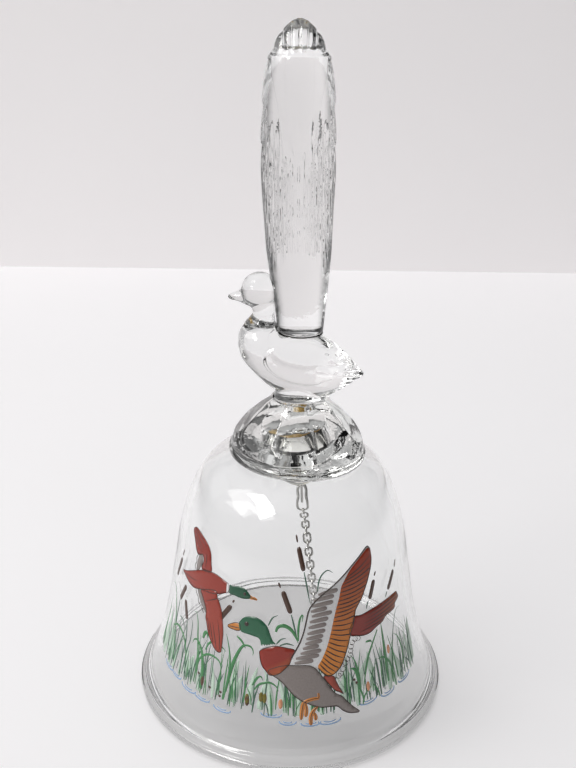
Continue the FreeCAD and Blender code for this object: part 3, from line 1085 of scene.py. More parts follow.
class Ink:
    """One enamel colour's marks on the bell, gathered into one thin raised piece."""

    thickness = 0.012
    grid = 1.0

    def __init__(self, bell: Bell, name: str, finish: Enamel, layer: int) -> None:
        """Starts an empty colour.

        Args:
            bell: the bell it is fired on.
            name: the piece's name.
            finish: the colour.
            layer: 0 for the first colour printed, more for the ones over it.
        """
        wall = [(z, r) for r, z in bell.wall()]
        self.radii = [between(wall, 0.5 * k) for k in range(130)]
        self.name, self.finish = name, finish
        self.low = 0.012 + 0.014 * layer
        self.vertices: list[Point3] = []
        self.faces: list[list[int]] = []

    def point(self, place: Point, height: float) -> Point3:
        """The point over the bell's wall for a place in millimetres on the flat drawing."""
        step = min(128.0, max(0.0, place[1] * 2))
        below = self.radii[int(step)]
        radius = below + (self.radii[int(step) + 1] - below) * (step - int(step)) + height
        turn = math.radians(place[0] / ARC)
        return radius * math.sin(turn), -radius * math.cos(turn), place[1]

    def flat(self, places: Sequence[Point]) -> Places:
        """Degrees and heights turned into millimetres on the flat drawing."""
        return [(turn * ARC, level) for turn, level in places]

    def fill(self, outline: Sequence[Point]) -> None:
        """A filled patch with a smooth edge."""
        edge = [tuple(p) for p in spline(self.flat(outline), 3, True)]
        low = [min(axis) for axis in zip(*edge)]
        high = [max(axis) for axis in zip(*edge)]
        middle = [(low[0] + self.grid * i, low[1] + self.grid * j) for i in range(1,
            int((high[0] - low[0]) / self.grid) + 1)
                  for j in range(1, int((high[1] - low[1]) / self.grid) + 1)]
        points = edge + [p for p in middle if inside(p, edge, 0.35)]
        made = delaunay_2d_cdt([Vector(p) for p in points], [], [list(range(len(edge)))], 1, 1e-5)
        places, triangles = [tuple(p) for p in made[0]], made[2]
        base, count = len(self.vertices), len(places)
        self.vertices += [self.point(p, self.low) for p in places]
        self.vertices += [self.point(p, self.low + self.thickness) for p in places]
        sides: dict[tuple[int, int], int] = {}
        for triangle in triangles:
            self.faces.append([base + count + k for k in triangle])
            self.faces.append([base + k for k in reversed(triangle)])
            for a, b in zip(triangle, [*triangle[1:], triangle[0]]):
                sides[(a, b)] = sides.get((a, b), 0) + 1
        self.faces += [[base + a, base + b, base + count + b, base + count + a]
                       for a, b in sides if (b, a) not in sides]

    def stroke(self, line: Sequence[Point], width: float, tip: Tip = Tip.LINE,
               closed: bool = False) -> None:
        """A brush stroke along a line, its width in millimetres."""
        path = spline(self.flat(line), 6, closed)
        if closed:
            path.append(path[0])
        path = evenly(path, 0.25 if tip is Tip.ROD else 0.45)
        base, last = len(self.vertices), len(path) - 1
        for i, (x, z) in enumerate(path):
            ahead, behind = path[min(i + 1, last)], path[max(i - 1, 0)]
            along = Vector((ahead[0] - behind[0], ahead[1] - behind[1])).normalized()
            half = 0.5 * width * (1.0 if closed else between(tip.value, i / last))
            left, right = (x - along.y * half, z + along.x * half), (x + along.y * half, z - along.x * half)
            self.vertices += [self.point(left, self.low), self.point(right, self.low),
                              self.point(right, self.low + self.thickness),
                              self.point(left, self.low + self.thickness)]
        for i in range(last):
            here, there = base + 4 * i, base + 4 * i + 4
            self.faces += [[here + k, here + (k + 1) % 4, there + (k + 1) % 4, there + k] for k in range(4)]
        self.faces += [[base + k for k in (3, 2, 1, 0)], [base + 4 * last + k for k in range(4)]]

    def build(self) -> None:
        """Makes and dresses the piece."""
        dress(make_object(self.name, self.vertices, self.faces), self.finish, BELL)


RUST = Enamel("rust_red", ink_colour(160, 66, 48), ink_colour(140, 44, 32), (0.0, 1.0), (26.0, 50.0))
HEAD_GREEN = Enamel("head_green", ink_colour(48, 106, 76), ink_colour(36, 84, 60), (0.0, 1.0), (31.0, 43.0))
PLAIN_GREY = Enamel("feather_grey", ink_colour(140, 131, 127))
OUTLINE = Enamel("outline_brown", ink_colour(62, 50, 44))
BEAK = Enamel("beak_orange", ink_colour(208, 134, 66))
WHITE = Enamel("enamel_white", ink_colour(232, 232, 228))


@dataclass
class FlyingDrake:
    """The smaller duck, flying away on the left."""

    bell: Bell
    body: Places = field(default_factory=lambda: [
        (-30.5, 42.9), (-34, 43.6), (-38, 44.1), (-42, 44), (-46, 43.5), (-50, 42.6), (-54, 41.5),
        (-58, 40.4),
        (-61, 39.6), (-64, 39), (-61, 38.4), (-57, 37.7), (-53, 37.4), (-50, 37.7), (-47, 38.3),
        (-40, 38.9),
        (-35, 39.7), (-32.5, 40.4), (-30.5, 41)])
    far_wing: Places = field(default_factory=lambda: [
        (-48, 43.4), (-41.5, 44), (-42, 46), (-43, 48), (-44.5, 49.2), (-47, 50.2), (-51, 51), (-55, 51.6),
        (-58.5, 51.7), (-60.5, 50.8), (-58.5, 49.6), (-56.5, 48.4), (-54.5, 47), (-52.5, 46.2), (-50, 46.6),
        (-48.5, 46.8), (-47.5, 45.5)])
    near_wing: Places = field(default_factory=lambda: [
        (-46.5, 38.3), (-45.8, 37.2), (-43.5, 35.5), (-42, 33.8), (-42, 32.2), (-41, 30.8), (-40, 29.2),
        (-38.8, 27.8), (-37, 26.6), (-35.5, 25.6), (-33.5, 25), (-31.8, 25.2), (-31.4, 26.5), (-31.3, 30),
        (-32, 33), (-33, 35.5), (-34.5, 37.3), (-36, 38.5), (-38, 40)])
    grey_bands: list[Places] = field(default_factory=lambda: [
        [(-51.5, 46.2), (-49, 46.9), (-48, 45), (-49.5, 43), (-52, 42.2)],
        [(-49.5, 38), (-47, 38.3), (-44.5, 36), (-42, 34.3), (-42.2, 33.2), (-45, 34.4), (-47.5, 36)]])
    scallops: list[Places] = field(default_factory=lambda: [
        [(-52, 46.2), (-53, 45.2), (-52.4, 44.3), (-53.2, 43.3), (-52.8, 42.1)],
        [(-50.5, 37.6), (-49.6, 36.6), (-48.3, 36), (-47.5, 34.8), (-45.6, 34.2), (-43.5, 32.9)]])
    tail: Places = field(default_factory=lambda: [
        (-64.2, 38.9), (-61, 39.6), (-57.5, 39.5), (-57.5, 38.2), (-61, 38.3)])
    collar: Places = field(default_factory=lambda: [
        (-31.6, 42.9), (-30.8, 42.95), (-30, 42.8), (-30, 41.8), (-30, 40.8), (-30.7, 40.7), (-31.4, 40.7)])
    head: Places = field(default_factory=lambda: [
        (-30, 42.9), (-28, 42.9), (-25.5, 43.3), (-23.5, 43.3), (-21.5, 42.9), (-20, 42.2), (-19, 41.5),
        (-19.5, 40.9), (-21.5, 40.6), (-24, 40.5), (-27, 40.7), (-30, 40.9)])
    beak: Places = field(default_factory=lambda: [
        (-20, 42), (-18.5, 41.6), (-17, 41.5), (-15.8, 41.1), (-16, 40.8), (-17.5, 40.8), (-19.8, 40.9)])
    eye: Point = (-22.0, 41.8)
    quills: list[Places] = field(default_factory=lambda: [
        [(-58.8, 50.9), (-54, 49.6), (-49, 48.2)], [(-57, 49.6), (-53, 48.4), (-49.5, 47.4)],
        [(-59, 51.4), (-52, 50.4), (-46.5, 48.9)], [(-46, 47.6), (-45.5, 45.8), (-45.8, 44.3)],
        [(-34.3, 25.6), (-36, 29), (-37.6, 32)], [(-36.4, 26.7), (-38, 29.6), (-39.4, 31.9)],
        [(-32.5, 25.8), (-33.4, 29.6), (-34.9, 33)], [(-38.4, 28.4), (-39.8, 30.6), (-40.8, 32.4)],
        [(-61, 39), (-55, 39.2), (-50, 39.8)], [(-34, 38.9), (-39, 37.4), (-42.5, 36.4)]])

    def build(self) -> None:
        """Prints the duck."""
        red = Ink(self.bell, "flying_duck_red", RUST, 5)
        red.fill(self.far_wing)
        red.fill(self.near_wing)
        red.fill(self.body)
        grey = Ink(self.bell, "flying_duck_grey", PLAIN_GREY, 4)
        for band in [*self.grey_bands, self.tail]:
            grey.fill(band)
        white = Ink(self.bell, "flying_duck_collar", WHITE, 6)
        white.fill(self.collar)
        green = Ink(self.bell, "flying_duck_head", HEAD_GREEN, 6)
        green.fill(self.head)
        beak = Ink(self.bell, "flying_duck_beak", BEAK, 5)
        beak.fill(self.beak)
        dark = Ink(self.bell, "flying_duck_lines", OUTLINE, 7)
        dark.fill(ellipse(self.eye, 0.7, 0.42))
        for outline in (self.body, self.far_wing, self.near_wing):
            dark.stroke(outline, 0.13, closed=True)
        for line in self.scallops:
            dark.stroke(line, 0.22)
        for line in self.quills:
            dark.stroke(line, 0.2, Tip.BLADE)
        dark.stroke([(-19.6, 41.4), (-18, 41.2), (-16.2, 40.95)], 0.16)
        for ink in (red, grey, white, green, beak, dark):
            ink.build()


@dataclass
class LandingDrake:
    """The larger duck, landing with its wings up."""

    bell: Bell
    beak: Places = field(default_factory=lambda: [
        (-29.2, 32.9), (-28, 33.4), (-26, 34), (-24, 34.2), (-23.2, 33.9), (-23, 32.6), (-24.5, 32.2),
        (-27, 32.2),
        (-29, 32.4)])
    head: Places = field(default_factory=lambda: [
        (-24, 34), (-23.2, 35), (-22, 35.8), (-20.5, 36.3), (-18, 36.7), (-15.5, 36.6), (-13, 36),
        (-11, 35),
        (-9.8, 33.8), (-8.8, 32.3), (-7.8, 31.2), (-6.8, 30.6), (-9, 30.3), (-11, 30), (-13, 29.8),
        (-13.6, 31),
        (-14.6, 31.6), (-16.5, 31.8), (-19, 32), (-21.5, 32.1), (-23, 32.5)])
    eye: Point = (-20.2, 34.5)
    collar: Places = field(default_factory=lambda: [
        (-13, 29.9), (-10, 30.3), (-7, 30.6), (-6.5, 30.1), (-8.5, 30), (-11, 29.4), (-13.3, 28.7)])
    breast: Places = field(default_factory=lambda: [
        (-13.4, 28.5), (-10, 29.6), (-6.3, 30.1), (-2, 29.8), (1.5, 29.3), (0.8, 27.8), (0, 26.8),
        (-0.5, 25.8),
        (-2, 24.8), (-5, 23.2), (-8.5, 22.6), (-10.5, 23.6), (-12, 24.5), (-13, 25.8), (-13.6, 27.5)])
    belly: Places = field(default_factory=lambda: [
        (-9.5, 23.8), (-5, 25), (-1, 25.4), (3, 25.4), (7, 25.3), (10, 24.5), (11.5, 23.5), (13, 22.3),
        (14.5, 21),
        (16.5, 19), (18.5, 17.5), (21, 16.5), (23, 15), (25.5, 13.3), (28.3, 11.5), (26.5, 11.5),
        (23.5, 12),
        (21, 13), (19, 14.2), (16, 14.5), (12, 14.7), (8, 15.6), (4, 16.8), (1, 18.2), (-2, 20.2),
        (-5, 21.8),
        (-8, 22.8)])
    rump: Places = field(default_factory=lambda: [
        (13.8, 22.2), (18, 21.8), (19, 20.5), (20.5, 18.5), (22, 16.8), (21, 17.3), (18.5, 18.2),
        (16.5, 19.6),
        (14.5, 21.2)])
    front_edge: Places = field(default_factory=lambda: [
        (0, 27.2), (1.8, 29), (4, 31.5), (5.5, 34), (6.5, 36.5), (7.5, 38.8), (9, 40.2), (12, 41.8),
        (16, 43.3),
        (20, 44.6), (25, 46.4), (30, 48.2), (35, 49.8), (39, 51), (40.5, 51), (41.8, 50.2)])
    back_edge: Places = field(default_factory=lambda: [
        (16, 21.9), (18, 22.2), (20, 22.9), (22, 24.1), (23.3, 25.6), (24.5, 27.2), (25.5, 28.7),
        (26.5, 30.5), (27.3, 32),
        (28.5, 33.5), (29.3, 35.2), (30, 36.8), (31.5, 38), (33.5, 39.2), (35.5, 41), (37.3, 42.6),
        (38.8, 44.2),
        (40.3, 45.8), (41.5, 47.6), (41.8, 49)])
    inner_edge: Places = field(default_factory=lambda: [
        (11.5, 24.4), (13, 26.2), (15, 28.5), (16.3, 30.5), (17.5, 32.8), (18.5, 35), (19.5, 37),
        (20.6, 39),
        (21.8, 40.8), (22.6, 42.4), (23.4, 43.8), (25.5, 45.4)])
    quills: int = 23
    bars: list[tuple[float, float, float]] = field(default_factory=lambda: [
        (43.0, 12, 21.5), (41.7, 10, 19.5), (40.3, 9, 19), (39.0, 8.6, 16), (37.8, 9, 18.3),
        (36.4, 8, 16.5),
        (35.0, 7.5, 15.5), (33.5, 7, 15), (32.2, 6.5, 14), (31.0, 6, 13.5), (29.8, 5, 12), (28.6, 4, 13),
        (27.4, 2, 12), (26.2, 1.5, 9.5)])
    far_wing: Places = field(default_factory=lambda: [
        (29.5, 35.4), (33, 35.2), (40, 35.6), (48, 35.8), (55, 35.8), (57.5, 35.6), (58.5, 34.6),
        (58.8, 33.8),
        (57, 33.4), (55.5, 33), (55, 32), (52, 31.8), (47.5, 31.7), (45.5, 30.9), (41, 30.4), (37, 29.7),
        (33, 29.8),
        (29.5, 30.4), (27, 30.8), (26.5, 32.3), (28.3, 34)])
    far_quills: list[Places] = field(default_factory=lambda: [
        [(58, 35), (48, 34.9), (36, 34.4)], [(58, 34.2), (48, 34), (35, 33.5)],
        [(56, 33.2), (47, 33), (34, 32.6)],
        [(54, 32.3), (46, 32.2), (34, 31.7)], [(46, 31.4), (40, 31.1), (32, 30.9)]])
    down: Places = field(default_factory=lambda: [
        (30.5, 29.5), (29, 29.6), (27.5, 29), (26.8, 28), (26.5, 27), (26, 26), (24.7, 25.2), (23.8, 24.3),
        (22.5, 23), (21.3, 22), (20.3, 21.6)])
    legs: list[Places] = field(default_factory=lambda: [
        [(11.3, 18.2), (11.3, 17), (9, 16.9), (5.5, 16.2), (4.6, 14.5), (4.2, 12.1)],
        [(6, 16), (6.3, 14.5), (6, 12.7)],
        [(11, 15), (9, 14), (8, 12.6), (8, 10.7)], [(9.3, 13.6), (9.9, 12.6), (9.9, 11.7)]])

    def wing(self) -> list[Ink]:
        """The raised wing: white and grey near the body, orange flight feathers at the back."""
        feathers = Enamel("flight_feathers", ink_colour(212, 130, 48), ink_colour(158, 58, 32), (0.0, 1.0),
                          (28.0, 47.0))
        white = Ink(self.bell, "raised_wing_white", WHITE, 3)
        white.fill([*self.front_edge, *self.back_edge[::-1], *self.inner_edge[:1]])
        grey = Ink(self.bell, "raised_wing_grey", PLAIN_GREY, 5)
        for level, start, end in self.bars:
            grey.stroke([(start, level - 0.3), ((start + end) / 2, level), (end, level + 0.2)], 1.15,
                        Tip.FEATHER)
        orange = Ink(self.bell, "raised_wing_orange", feathers, 4)
        dark = Ink(self.bell, "raised_wing_lines", OUTLINE, 6)
        top = [(41.8, 49.9), (40.3, 50.7), (37.5, 50.2), (33, 48.8), (28.5, 47.2)]
        orange.fill([*self.inner_edge, *top[::-1], *self.back_edge[::-1]])
        for k in range(self.quills + 1):
            share = k / self.quills
            start, end = part_way(self.inner_edge, share), part_way(self.back_edge, share)
            middle = ((start[0] + end[0]) / 2, (start[1] + end[1]) / 2 - 0.25)
            dark.stroke([start, middle, end], 0.3, Tip.BLADE if k % 3 else Tip.FEATHER)
        dark.stroke(self.front_edge, 0.36)
        dark.stroke(self.back_edge, 0.22)
        return [white, grey, orange, dark]

    def trunk(self) -> list[Ink]:
        """Everything but the raised wing."""
        breast_red = Enamel("breast_red", ink_colour(200, 116, 62), ink_colour(148, 48, 34), (-0.6, 1.0),
                            (22.5, 28.0))
        far_red = Enamel("far_wing_red", ink_colour(140, 44, 32), ink_colour(176, 98, 52), (1.0, 0.0),
                         (20.0, 27.0))
        grey = Ink(self.bell, "landing_duck_belly", PLAIN_GREY, 5)
        grey.fill(self.belly)
        red = Ink(self.bell, "landing_duck_breast", breast_red, 6)
        red.fill(self.breast)
        rust = Ink(self.bell, "landing_duck_rump", RUST, 6)
        rust.fill(self.rump)
        far = Ink(self.bell, "landing_duck_far_wing", far_red, 3)
        far.fill(self.far_wing)
        white = Ink(self.bell, "landing_duck_collar", WHITE, 7)
        white.fill(self.collar)
        green = Ink(self.bell, "landing_duck_head", HEAD_GREEN, 7)
        green.fill(self.head)
        orange = Ink(self.bell, "landing_duck_orange", BEAK, 6)
        orange.fill(self.beak)
        for leg in self.legs:
            orange.stroke(leg, 0.95, Tip.FEATHER)
        dark = Ink(self.bell, "landing_duck_lines", OUTLINE, 8)
        dark.fill(ellipse(self.eye, 1.0, 0.55))
        for outline in (self.breast, self.belly, self.rump, self.far_wing, self.beak):
            dark.stroke(outline, 0.16, closed=True)
        for leg in self.legs:
            dark.stroke(leg, 0.14)
        for quill in self.far_quills:
            dark.stroke(quill, 0.26, Tip.BLADE)
        for curl in self.down:
            dark.stroke(ellipse(curl, 1.2, 0.62, 150, 470), 0.14)
        dark.stroke([(-28.6, 32.8), (-26, 32.9), (-23.6, 33)], 0.2)
        return [grey, red, rust, far, white, green, orange, dark]

    def build(self) -> None:
        """Prints the duck."""
        for ink in [*self.wing(), *self.trunk()]:
            ink.build()


@dataclass
class Marsh:
    """Reeds, grass and rippled water under the ducks."""

    bell: Bell
    seed: int = 11
    thin_blades: int = 150
    pale_strips: int = 46
    cattails: list[tuple[Point, Point]] = field(default_factory=lambda: [
        ((-67.3, 41.2), (-71, 35.4)), ((-58.8, 36), (-63.2, 31.2)), ((-57.8, 32.5), (-54.8, 28)),
        ((-28.4, 37.9), (-34.2, 33.2)), ((-4.2, 43.8), (-0.4, 38.4)), ((3, 54), (5.4, 48.6)),
        ((41.7, 42.5), (38.3, 38.2)), ((57, 41.6), (51, 37.8))])
    spikes: list[Places] = field(default_factory=lambda: [
        [(-66, 43.9), (-67, 42)], [(-27, 39.5), (-27.8, 38.8)], [(-6.3, 45.8), (-5.3, 44.6)],
        [(1.8, 56.6), (2.5, 55)],
        [(43.3, 44.3), (42.2, 43.4)], [(60, 43.6), (58.3, 42)]])
    stems: list[Places] = field(default_factory=lambda: [
        [(-0.2, 38.1), (1.4, 34.6), (2.8, 31)], [(5.6, 48.3), (7, 44.4), (8.3, 40.5)],
        [(37.3, 37.8), (36.6, 37), (36, 36)],
        [(50.2, 37.5), (49.3, 36.8), (48.5, 36.2)], [(-54.6, 27.8), (-53.4, 24), (-52.6, 19)],
        [(-63.4, 31), (-64.2, 26), (-64, 19)]])
    green_leaves: list[Places] = field(default_factory=lambda: [
        [(-44, 14.5), (-44, 21), (-45.5, 26), (-46.5, 29.5), (-48, 31.8), (-50, 31.5)],
        [(-43.6, 18), (-42.5, 21), (-39, 23), (-35, 23.4), (-31.5, 22.5), (-30.2, 19.5)],
        [(-40, 24), (-38.5, 26), (-35.5, 27.2), (-32, 26.8), (-29, 25.8)],
        [(-28, 14), (-26.8, 20), (-26.8, 24), (-28, 27.5), (-29.7, 30.5)],
        [(-24.5, 30.8), (-22, 29.8), (-20, 28.2)], [(-16, 19.5), (-14, 21.5), (-12.5, 22), (-11.5, 21)],
        [(-15, 18.5), (-13, 20), (-9, 20.8), (-6, 20), (-5, 18.8)],
        [(3, 31.5), (3, 34.5), (3.8, 37.2), (5, 38), (4.6, 36)],
        [(29.8, 16), (29.7, 20), (28.3, 24), (26, 26)], [(22.8, 17), (23, 20), (22.5, 22.3)],
        [(34.5, 27.8), (37, 27.6), (38, 26.8)], [(41.5, 29.5), (38, 26.5), (35, 23.5), (32, 18), (31, 15)],
        [(47.5, 14), (47.8, 18), (46, 20.5), (43, 21.9), (40, 22)],
        [(56, 16), (57, 20), (55, 24), (52.5, 25.5)],
        [(-60, 15), (-64.5, 24), (-68, 30), (-72, 32.5), (-75, 32)],
        [(-66, 22.8), (-62, 24.2), (-57, 23.8), (-53, 21.5), (-50.5, 17)]])
    thick_leaves: list[Places] = field(default_factory=lambda: [
        [(-39.8, 14), (-40.2, 19), (-42, 23), (-45, 25), (-47.5, 24.8), (-48.3, 23.5)],
        [(-27.5, 16), (-26, 22), (-23.5, 26.5), (-21, 28.8), (-18, 29), (-16.5, 28), (-16.6, 26.8)],
        [(-6.8, 33.6), (-6, 34.8), (-3.5, 35.3), (-0.5, 34.5), (1.5, 33), (3, 31)],
        [(29.5, 18), (29, 20.5), (27.5, 22.2), (25.5, 22.5)], [(45, 15), (45, 22), (44.6, 27), (44, 30.8)],
        [(-42.2, 26.5), (-41.5, 28), (-40, 28.5), (-39.5, 27)]])
    dark_leaves: list[Places] = field(default_factory=lambda: [
        [(-10.3, 35), (-8.5, 37), (-6, 37.8)],
        [(11.8, 43.5), (12.3, 45.5), (14, 47.3), (17, 48.2), (19.8, 47.3)],
        [(-6.5, 30.5), (-4.5, 31.8), (-2.2, 32.2)], [(-5, 30.2), (-2, 30.8), (1.5, 30.3)],
        [(56, 14), (57.5, 18), (57.8, 22), (56.5, 26)],
        [(48, 16), (50, 22), (53, 28), (56, 31), (59.5, 31.1)],
        [(-52, 14), (-51.5, 20), (-50.2, 24), (-50.3, 28), (-51.5, 29.5)],
        [(-61, 27), (-58, 26.8), (-55.5, 25)]])
    buds: list[tuple[Colour, str, Places]] = field(default_factory=lambda: [
        (ink_colour(92, 62, 44), "brown_buds", [(-39.3, 16), (-17.6, 15.4)]),
        (ink_colour(116, 106, 34), "ochre_buds", [(-17.8, 16), (-12, 17), (-10.5, 16.8)]),
        (ink_colour(222, 156, 118), "pale_buds", [(33.7, 16.6), (-4, 15.8), (47.3, 22.8)])])
    berries: Places = field(default_factory=lambda: [
        (-41.8, 17.4), (-35, 15.5), (-29.6, 15.5), (-29.8, 14.5), (27.3, 19.5), (28.3, 18.6)])
    ripples: list[tuple[float, float, float, float]] = field(default_factory=lambda: [
        (-62, 13, 4, 0.8), (-55, 13, 3.6, 0.8), (-46, 12.4, 4.5, 0.9), (-38, 12.2, 4, 0.8),
        (-28, 11.8, 4, 0.8),
        (-7.5, 13.2, 4.2, 0.8), (-1, 11.6, 3.4, 0.8), (8, 11.2, 4, 0.8), (15.5, 11.2, 4.6, 0.9),
        (33, 13.4, 4.5, 1.0),
        (43.5, 12.9, 4, 1.0), (55, 13.2, 4.5, 0.9)])

    def blade(self, chance: random.Random, low: float, high: float) -> Places:
        """One blade of grass of a chance place, height and bend."""
        foot, top, lean = chance.uniform(-76, 66), chance.uniform(low, high), chance.gauss(0, 2.2)
        start = chance.uniform(12.6, 15)
        return [(foot, start), (foot + lean * 0.25, (start + top) / 2), (foot + lean, top)]

    def grass(self) -> list[Ink]:
        """Blades and leaves, pale ones behind."""
        chance = random.Random(self.seed)
        pale = Ink(self.bell, "grass_pale", Enamel("pale_mint", ink_colour(196, 218, 200)), 0)
        for _ in range(self.pale_strips):
            pale.stroke(self.blade(chance, 17, 26), chance.uniform(0.9, 2.0), Tip.BLADE)
        green = Ink(self.bell, "grass_green", Enamel("grass_green", ink_colour(74, 138, 86)), 2)
        dark = Ink(self.bell, "grass_dark", Enamel("dark_green", ink_colour(66, 104, 84)), 1)
        for k in range(self.thin_blades):
            (dark if k % 3 else green).stroke(self.blade(chance, 16, 28), chance.uniform(0.18, 0.5),
                                              Tip.BLADE)
        for leaf in self.green_leaves:
            green.stroke(leaf, 0.6, Tip.BLADE)
        for leaf in self.thick_leaves:
            green.stroke(leaf, 1.0, Tip.BLADE)
        for leaf in [*self.dark_leaves, *self.stems]:
            dark.stroke(leaf, 0.42, Tip.BLADE)
        return [pale, dark, green]

    def build(self) -> None:
        """Prints the marsh."""
        brown = Ink(self.bell, "cattail_heads", Enamel("cattail_brown", ink_colour(78, 54, 42)), 3)
        for top, foot in self.cattails:
            brown.stroke([top, ((top[0] + foot[0]) / 2, (top[1] + foot[1]) / 2), foot], 1.3, Tip.ROD)
        for spike in self.spikes:
            brown.stroke([spike[0], part_way(spike, 0.5), spike[1]], 0.5, Tip.LINE)
        for place in self.berries:
            brown.fill(ellipse(place, 0.6, 0.34, steps=8))
        blue = Ink(self.bell, "water_ripples", Enamel("ripple_blue", ink_colour(158, 184, 216)), 0)
        for turn, level, wide, high in self.ripples:
            blue.stroke(ellipse((turn, level), wide, high, 170, 370), 0.38)
            blue.stroke(ellipse((turn, level + 0.1), wide * 0.55, high * 0.5, 190, 350), 0.3)
        inks = [blue, *self.grass(), brown]
        for colour, name, places in self.buds:
            bud = Ink(self.bell, name, Enamel(name, colour), 3)
            for place in places:
                bud.fill(ellipse(place, 0.9, 1.2, steps=10))
            inks.append(bud)
        for ink in inks:
            ink.build()


@dataclass
class Picture:
    """The printed and fired picture of two ducks over a marsh, a few hundredths of a millimetre high."""

    bell: Bell

    def build(self) -> None:
        """Prints all of it."""
        Marsh(self.bell).build()
        FlyingDrake(self.bell).build()
        LandingDrake(self.bell).build()


# --- Studio ---------------------------------------------------------------------------------


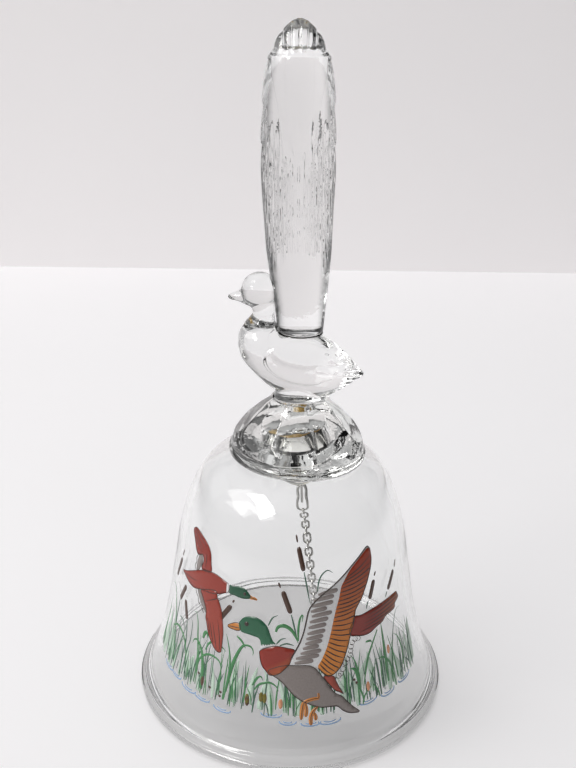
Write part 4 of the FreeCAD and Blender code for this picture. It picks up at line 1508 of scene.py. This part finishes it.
@dataclass
class Studio:
    """Table, backdrop, soft lights and camera; sizes in metres."""

    eye: Point3 = (-0.0015, -0.2206, 0.1765)
    pitch: float = 22.94
    roll: float = 0.7
    lens: float = 46.875
    sensor: float = 36.0
    wall_distance: float = 0.378
    half_width: float = 1.4
    wall_height: float = 0.24
    # painted light: the backdrop and table glow by these emission strengths, though they are no lamps
    backdrop_painted_glow: float = 0.42
    table_painted_glow: float = 0.42
    bright_side: Point3 = (-0.62, 0.1, 0.778)
    room_light: list[Point] = field(default_factory=lambda: [
        (0.0, 0.12), (0.3, 0.22), (0.5, 0.3), (0.55, 0.5), (0.74, 0.6), (0.78, 1.0)])
    room_strength: float = 0.75
    key_place: Point3 = (-0.7, -0.22, 0.72)
    key_size: Point = (0.6, 0.6)
    key_power: float = 3.7
    window_place: Point3 = (-0.37, -0.34, 0.61)
    window_tall: Point3 = (0.1, -0.89, -0.45)
    window_size: Point = (0.22, 0.56)
    window_power: float = 5.5
    # painted shade: the table and backdrop darken to this share of their colour away from the middle,
    # standing in for the dim room round them
    painted_shade_tone: float = 0.3
    shade_fade_aside: list[tuple[float, Colour]] = field(default_factory=lambda: [(0.2, (0.0,) * 3),
        (0.6, (1.0,) * 3)])
    shade_fade_near: list[tuple[float, Colour]] = field(default_factory=lambda: [(0.12, (0.0,) * 3),
        (0.5, (1.0,) * 3)])

    def camera(self) -> None:
        """The camera, looking a little down at the bell on its table."""
        data = bpy.data.cameras.new("camera")
        data.lens, data.sensor_width, data.clip_start = self.lens, self.sensor, 0.01
        camera = bpy.data.objects.new("camera", data)
        bpy.context.scene.collection.objects.link(camera)
        pitch, roll = math.radians(self.pitch), math.radians(self.roll)
        ahead = Vector((0, math.cos(pitch), -math.sin(pitch)))
        up = Vector((1, 0, 0)).cross(ahead)
        right = Vector((math.cos(roll), 0, 0)) + up * math.sin(roll)
        upright = up * math.cos(roll) - Vector((math.sin(roll), 0, 0))
        axes = Matrix((right, upright, -ahead)).transposed()
        camera.matrix_world = Matrix.Translation(self.eye) @ axes.to_4x4()
        bpy.context.scene.camera = camera

    def sheet(self, name: str, corners: Sequence[Sequence[float]], colour: Colour,
              painted_glow: float = 0.0) -> None:
        """A matt sheet under or behind the object, its colour fading to painted shade towards its sides and
        its near edge; its glow strength is painted light, the sheet giving off its own colour as if it were
        lit.
        """
        made = make_object(name, [[c / MM for c in p] for p in corners], [(0, 1, 2, 3)])
        paint = Paint(name)
        cloudy = paint.noise(7.0, 3.0)
        pale = paint.mix(cloudy, tuple(c * 0.97 for c in colour), colour)
        place = paint.place()
        aside = paint.node("ShaderNodeMath", {"operation": "ABSOLUTE"},
                           {0: paint.node("ShaderNodeSeparateXYZ", {}, {0: place}, 0)})
        nearer = 0.0 - paint.node("ShaderNodeSeparateXYZ", {}, {0: place}, 1)
        # painted shade: the sheet's colour darkens towards its sides and its near edge, where the room is
        # dim
        side_shade = paint.node("ShaderNodeValToRGB", {"stops": self.shade_fade_aside}, {0: aside})
        front = paint.node("ShaderNodeValToRGB", {"stops": self.shade_fade_near}, {0: nearer})
        share = 1.0 - (1.0 - side_shade) * (1.0 - front)
        shaded_colour = paint.mix(share, pale, tuple(c * self.painted_shade_tone for c in colour))
        # painted light: the sheet also gives off its own colour as a glow
        paint.set(Base_Color=shaded_colour, Roughness=0.9, Emission_Color=shaded_colour, Emission_Strength=painted_glow)
        made.data.materials.append(paint.material)

    def lamp(self, name: str, place: Point3, target: Point3, size: Point, power: float,
             tall: Point3) -> bpy.types.Object:
        """A soft rectangular lamp.

        Args:
            name: its name.
            place: where it is.
            target: the point it faces.
            size: its width and height.
            power: watts.
            tall: the direction its height runs in.

        Returns:
            The lamp.
        """
        data = bpy.data.lights.new(name, "AREA")
        data.shape, data.size, data.size_y, data.energy = "RECTANGLE", size[0], size[1], power
        data.color = (1.0, 0.985, 0.965)
        lamp = bpy.data.objects.new(name, data)
        bpy.context.scene.collection.objects.link(lamp)
        behind = (Vector(place) - Vector(target)).normalized()
        upright = (Vector(tall) - behind * behind.dot(Vector(tall))).normalized()
        axes = Matrix((upright.cross(behind), upright, behind)).transposed()
        lamp.matrix_world = Matrix.Translation(place) @ axes.to_4x4()
        return lamp

    def room(self) -> None:
        """The room round the table: bright above and to the left, dim low down and behind."""
        world = bpy.data.worlds.new("room")
        world.use_nodes = True
        tree = world.node_tree
        place = tree.nodes.new("ShaderNodeTexCoord")
        lean = tree.nodes.new("ShaderNodeVectorMath")
        lean.operation = "DOT_PRODUCT"
        lean.inputs[1].default_value = self.bright_side
        ramp = tree.nodes.new("ShaderNodeValToRGB")
        stops = ramp.color_ramp.elements
        while len(stops) < len(self.room_light):
            stops.new(0.5)
        for stop, (at, value) in zip(stops, self.room_light):
            stop.position = at
            stop.color = (value, value, value * 1.01, 1.0)
        tree.links.new(place.outputs["Generated"], lean.inputs[0])
        tree.links.new(lean.outputs["Value"], ramp.inputs[0])
        background = tree.nodes["Background"]
        tree.links.new(ramp.outputs[0], background.inputs["Color"])
        background.inputs["Strength"].default_value = self.room_strength
        bpy.context.scene.world = world

    def build(self) -> None:
        """Sets up everything round the object."""
        self.camera()
        wide, far, tall = self.half_width, self.wall_distance, self.wall_height
        self.sheet("table", [(-wide, -1.0, 0), (wide, -1.0, 0), (wide, far, 0), (-wide, far, 0)],
                   (0.80, 0.79, 0.80),
                   self.table_painted_glow)
        self.sheet("backdrop", [(-wide, far, 0), (wide, far, 0), (wide, far, tall), (-wide, far, tall)],
                   (0.72, 0.70, 0.705), self.backdrop_painted_glow)
        window = self.lamp("window", self.window_place, (0, 0, 0.06), self.window_size, self.window_power,
                           self.window_tall)
        window.visible_diffuse = False
        window.data.cycles.max_bounces = 3
        self.lamp("soft_key", self.key_place, (0, 0, 0.03), self.key_size, self.key_power, (0, 1, 0))
        self.room()
        scene = bpy.context.scene
        scene.view_settings.view_transform = "Standard"
        scene.cycles.max_bounces = 24
        scene.cycles.transmission_bounces = 24
        scene.cycles.sample_clamp_indirect = 3.0
        scene.cycles.caustics_reflective = False
        scene.cycles.caustics_refractive = False
        scene.cycles.use_adaptive_sampling = False


def main() -> None:
    """Builds every sub-assembly in order."""
    logging.basicConfig(level=logging.INFO, format="%(message)s")
    Studio().build()
    bell, plume = Bell(), Plume()
    bell.build()
    Plug().build()
    Foot(bell).build()
    Duck().build(plume)
    plume.build()
    Chain().build()
    Picture(bell).build()


if __name__ == "__main__":
    main()
